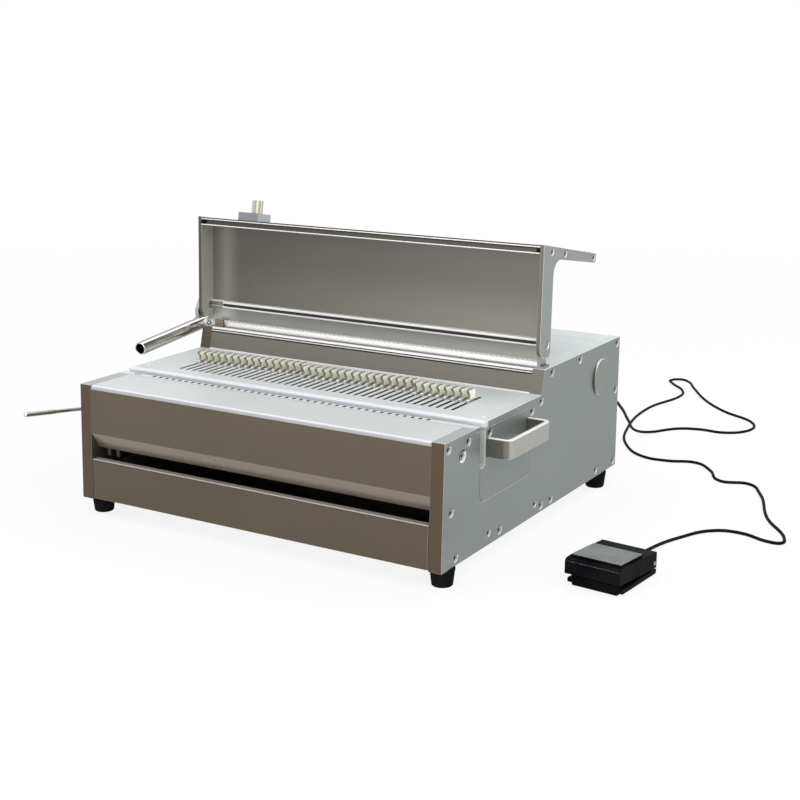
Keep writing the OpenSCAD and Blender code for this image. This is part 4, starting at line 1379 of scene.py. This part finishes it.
@dataclass
class Works(Group):
    """The inner and rear pieces, which keep their CAD solids."""

    steel: tuple[str, ...] = (
        "beam_guides", "shaft_bearings", "hinge_brackets", "hinge_pins", "die_block", "punch_pins", "crank_shaft",
        "drive_arms", "clamp_cam", "pedal_pin",
    )
    cast: tuple[str, ...] = ("crank_bearings", "gearbox", "motor")
    black: tuple[str, ...] = ("power_inlet", "switch_frame", "switch_rocker", "cord_gland")

    def build(self) -> None:
        """Paints the CAD nodes that stay."""
        fin = self.fin
        for nodes, finish in ((self.steel, fin.steel), (self.cast, fin.cast), (self.black, fin.black)):
            for node in nodes:
                self.bench.paint(node, finish)


@dataclass(frozen=True)
class Lamp:
    """A soft area light, with its place, aim and side in metres."""

    name: str
    spot: Point
    aim: Point
    size: float
    watts: float

    def hang(self) -> None:
        """Hangs the light so that it faces its aim."""
        data = bpy.data.lights.new(self.name, "AREA")
        data.energy = self.watts
        data.size = self.size
        made = bpy.data.objects.new(self.name, data)
        turn = (Vector(self.spot) - Vector(self.aim)).to_track_quat("Z", "Y").to_matrix().to_4x4()
        made.matrix_world = Matrix.Translation(self.spot) @ turn
        bpy.context.scene.collection.objects.link(made)


@dataclass
class Studio:
    """The pale floor, the soft lights and the camera."""

    azimuth: float = 31.168
    elevation: float = 14.488
    eye: Point = (0.80526, -1.24523, 0.48999)
    focal_px: float = 1438.106
    frame_px: float = 800.0
    floor_half: float = 12.0
    floor_glow: float = 0.84
    floor_colour: Colour = (0.92, 0.92, 0.92)
    floor_fade: Span = (0.75, 2.2)
    fill: float = 0.45
    sensor: float = 36.0
    near_clip: float = 0.02
    lamps: tuple[Lamp, ...] = (
        Lamp("key", (0.5, -0.2, 2.4), (0.0, 0.0, 0.1), 5.0, 84.0),
        Lamp("side", (2.6, -0.4, 1.1), (0.0, 0.0, 0.1), 2.2, 19.0),
        Lamp("front", (-0.9, -2.6, 1.3), (0.0, 0.0, 0.15), 1.6, 10.0),
    )

    def build(self) -> None:
        """Makes the stage."""
        bpy.context.scene.view_settings.view_transform = "Standard"
        self.camera()
        self.floor()
        self.sky()
        for lamp in self.lamps:
            lamp.hang()

    def camera(self) -> None:
        """Stands the camera where the photograph was taken."""
        az, el = math.radians(self.azimuth), math.radians(self.elevation)
        right = Vector((math.cos(az), math.sin(az), 0.0))
        back = Vector((math.sin(az) * math.cos(el), -math.cos(az) * math.cos(el), math.sin(el)))
        turn = Matrix((right, back.cross(right), back)).transposed().to_4x4()
        lens = bpy.data.cameras.new("camera")
        lens.sensor_width = self.sensor
        lens.lens = self.sensor * self.focal_px / self.frame_px
        lens.clip_start = self.near_clip
        made = bpy.data.objects.new("camera", lens)
        made.matrix_world = Matrix.Translation(self.eye) @ turn
        bpy.context.scene.collection.objects.link(made)
        bpy.context.scene.camera = made

    def floor(self) -> None:
        """Lays the white floor, which keeps a soft shadow near the machine and meets the white view far away."""
        bm = bmesh.new()
        bmesh.ops.create_grid(bm, x_segments=1, y_segments=1, size=self.floor_half)
        mesh = bpy.data.meshes.new("floor")
        bm.to_mesh(mesh)
        bm.free()
        made = bpy.data.objects.new("floor", mesh)
        bpy.context.scene.collection.objects.link(made)
        sh = Shader.named("white_floor")
        matt = sh.node("ShaderNodeBsdfDiffuse", None, {"Color": self.floor_colour})
        glow = sh.node("ShaderNodeEmission", None, {"Color": WHITE, "Strength": 1.0})
        away = sh.node("ShaderNodeVectorMath", {"operation": "LENGTH"}, {0: sh.coord(Coord.OBJECT)}, "Value")
        near = self.floor_glow
        share = sh.seen() * (near + (1.0 - near) * away.step(*self.floor_fade))
        sh.end(sh.node("ShaderNodeMixShader", None, {0: share, 1: matt, 2: glow}))
        mesh.materials.append(sh.owner)

    def sky(self) -> None:
        """Gives the world a white view and a plain fill light."""
        world = bpy.data.worlds.new("studio")
        bpy.context.scene.world = world
        sh = Shader(world)
        fill = sh.node("ShaderNodeBackground", None, {"Color": WHITE, "Strength": self.fill})
        show = sh.node("ShaderNodeBackground", None, {"Color": WHITE, "Strength": 1.0})
        both = sh.node("ShaderNodeMixShader", None, {0: sh.seen(), 1: fill, 2: show})
        sh.end(both, "ShaderNodeOutputWorld")


def main() -> None:
    logging.basicConfig(level=logging.INFO, format="%(name)s: %(message)s")
    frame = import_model()
    Studio().build()
    bench = Bench(frame, Finishes())
    for group in (Pedal, Case, CombOpener, Lid, DieAndClamp, Works):
        group(bench).build()
        LOG.info("built %s", group.__name__)
    bpy.context.view_layer.update()


if __name__ == "__main__":
    main()
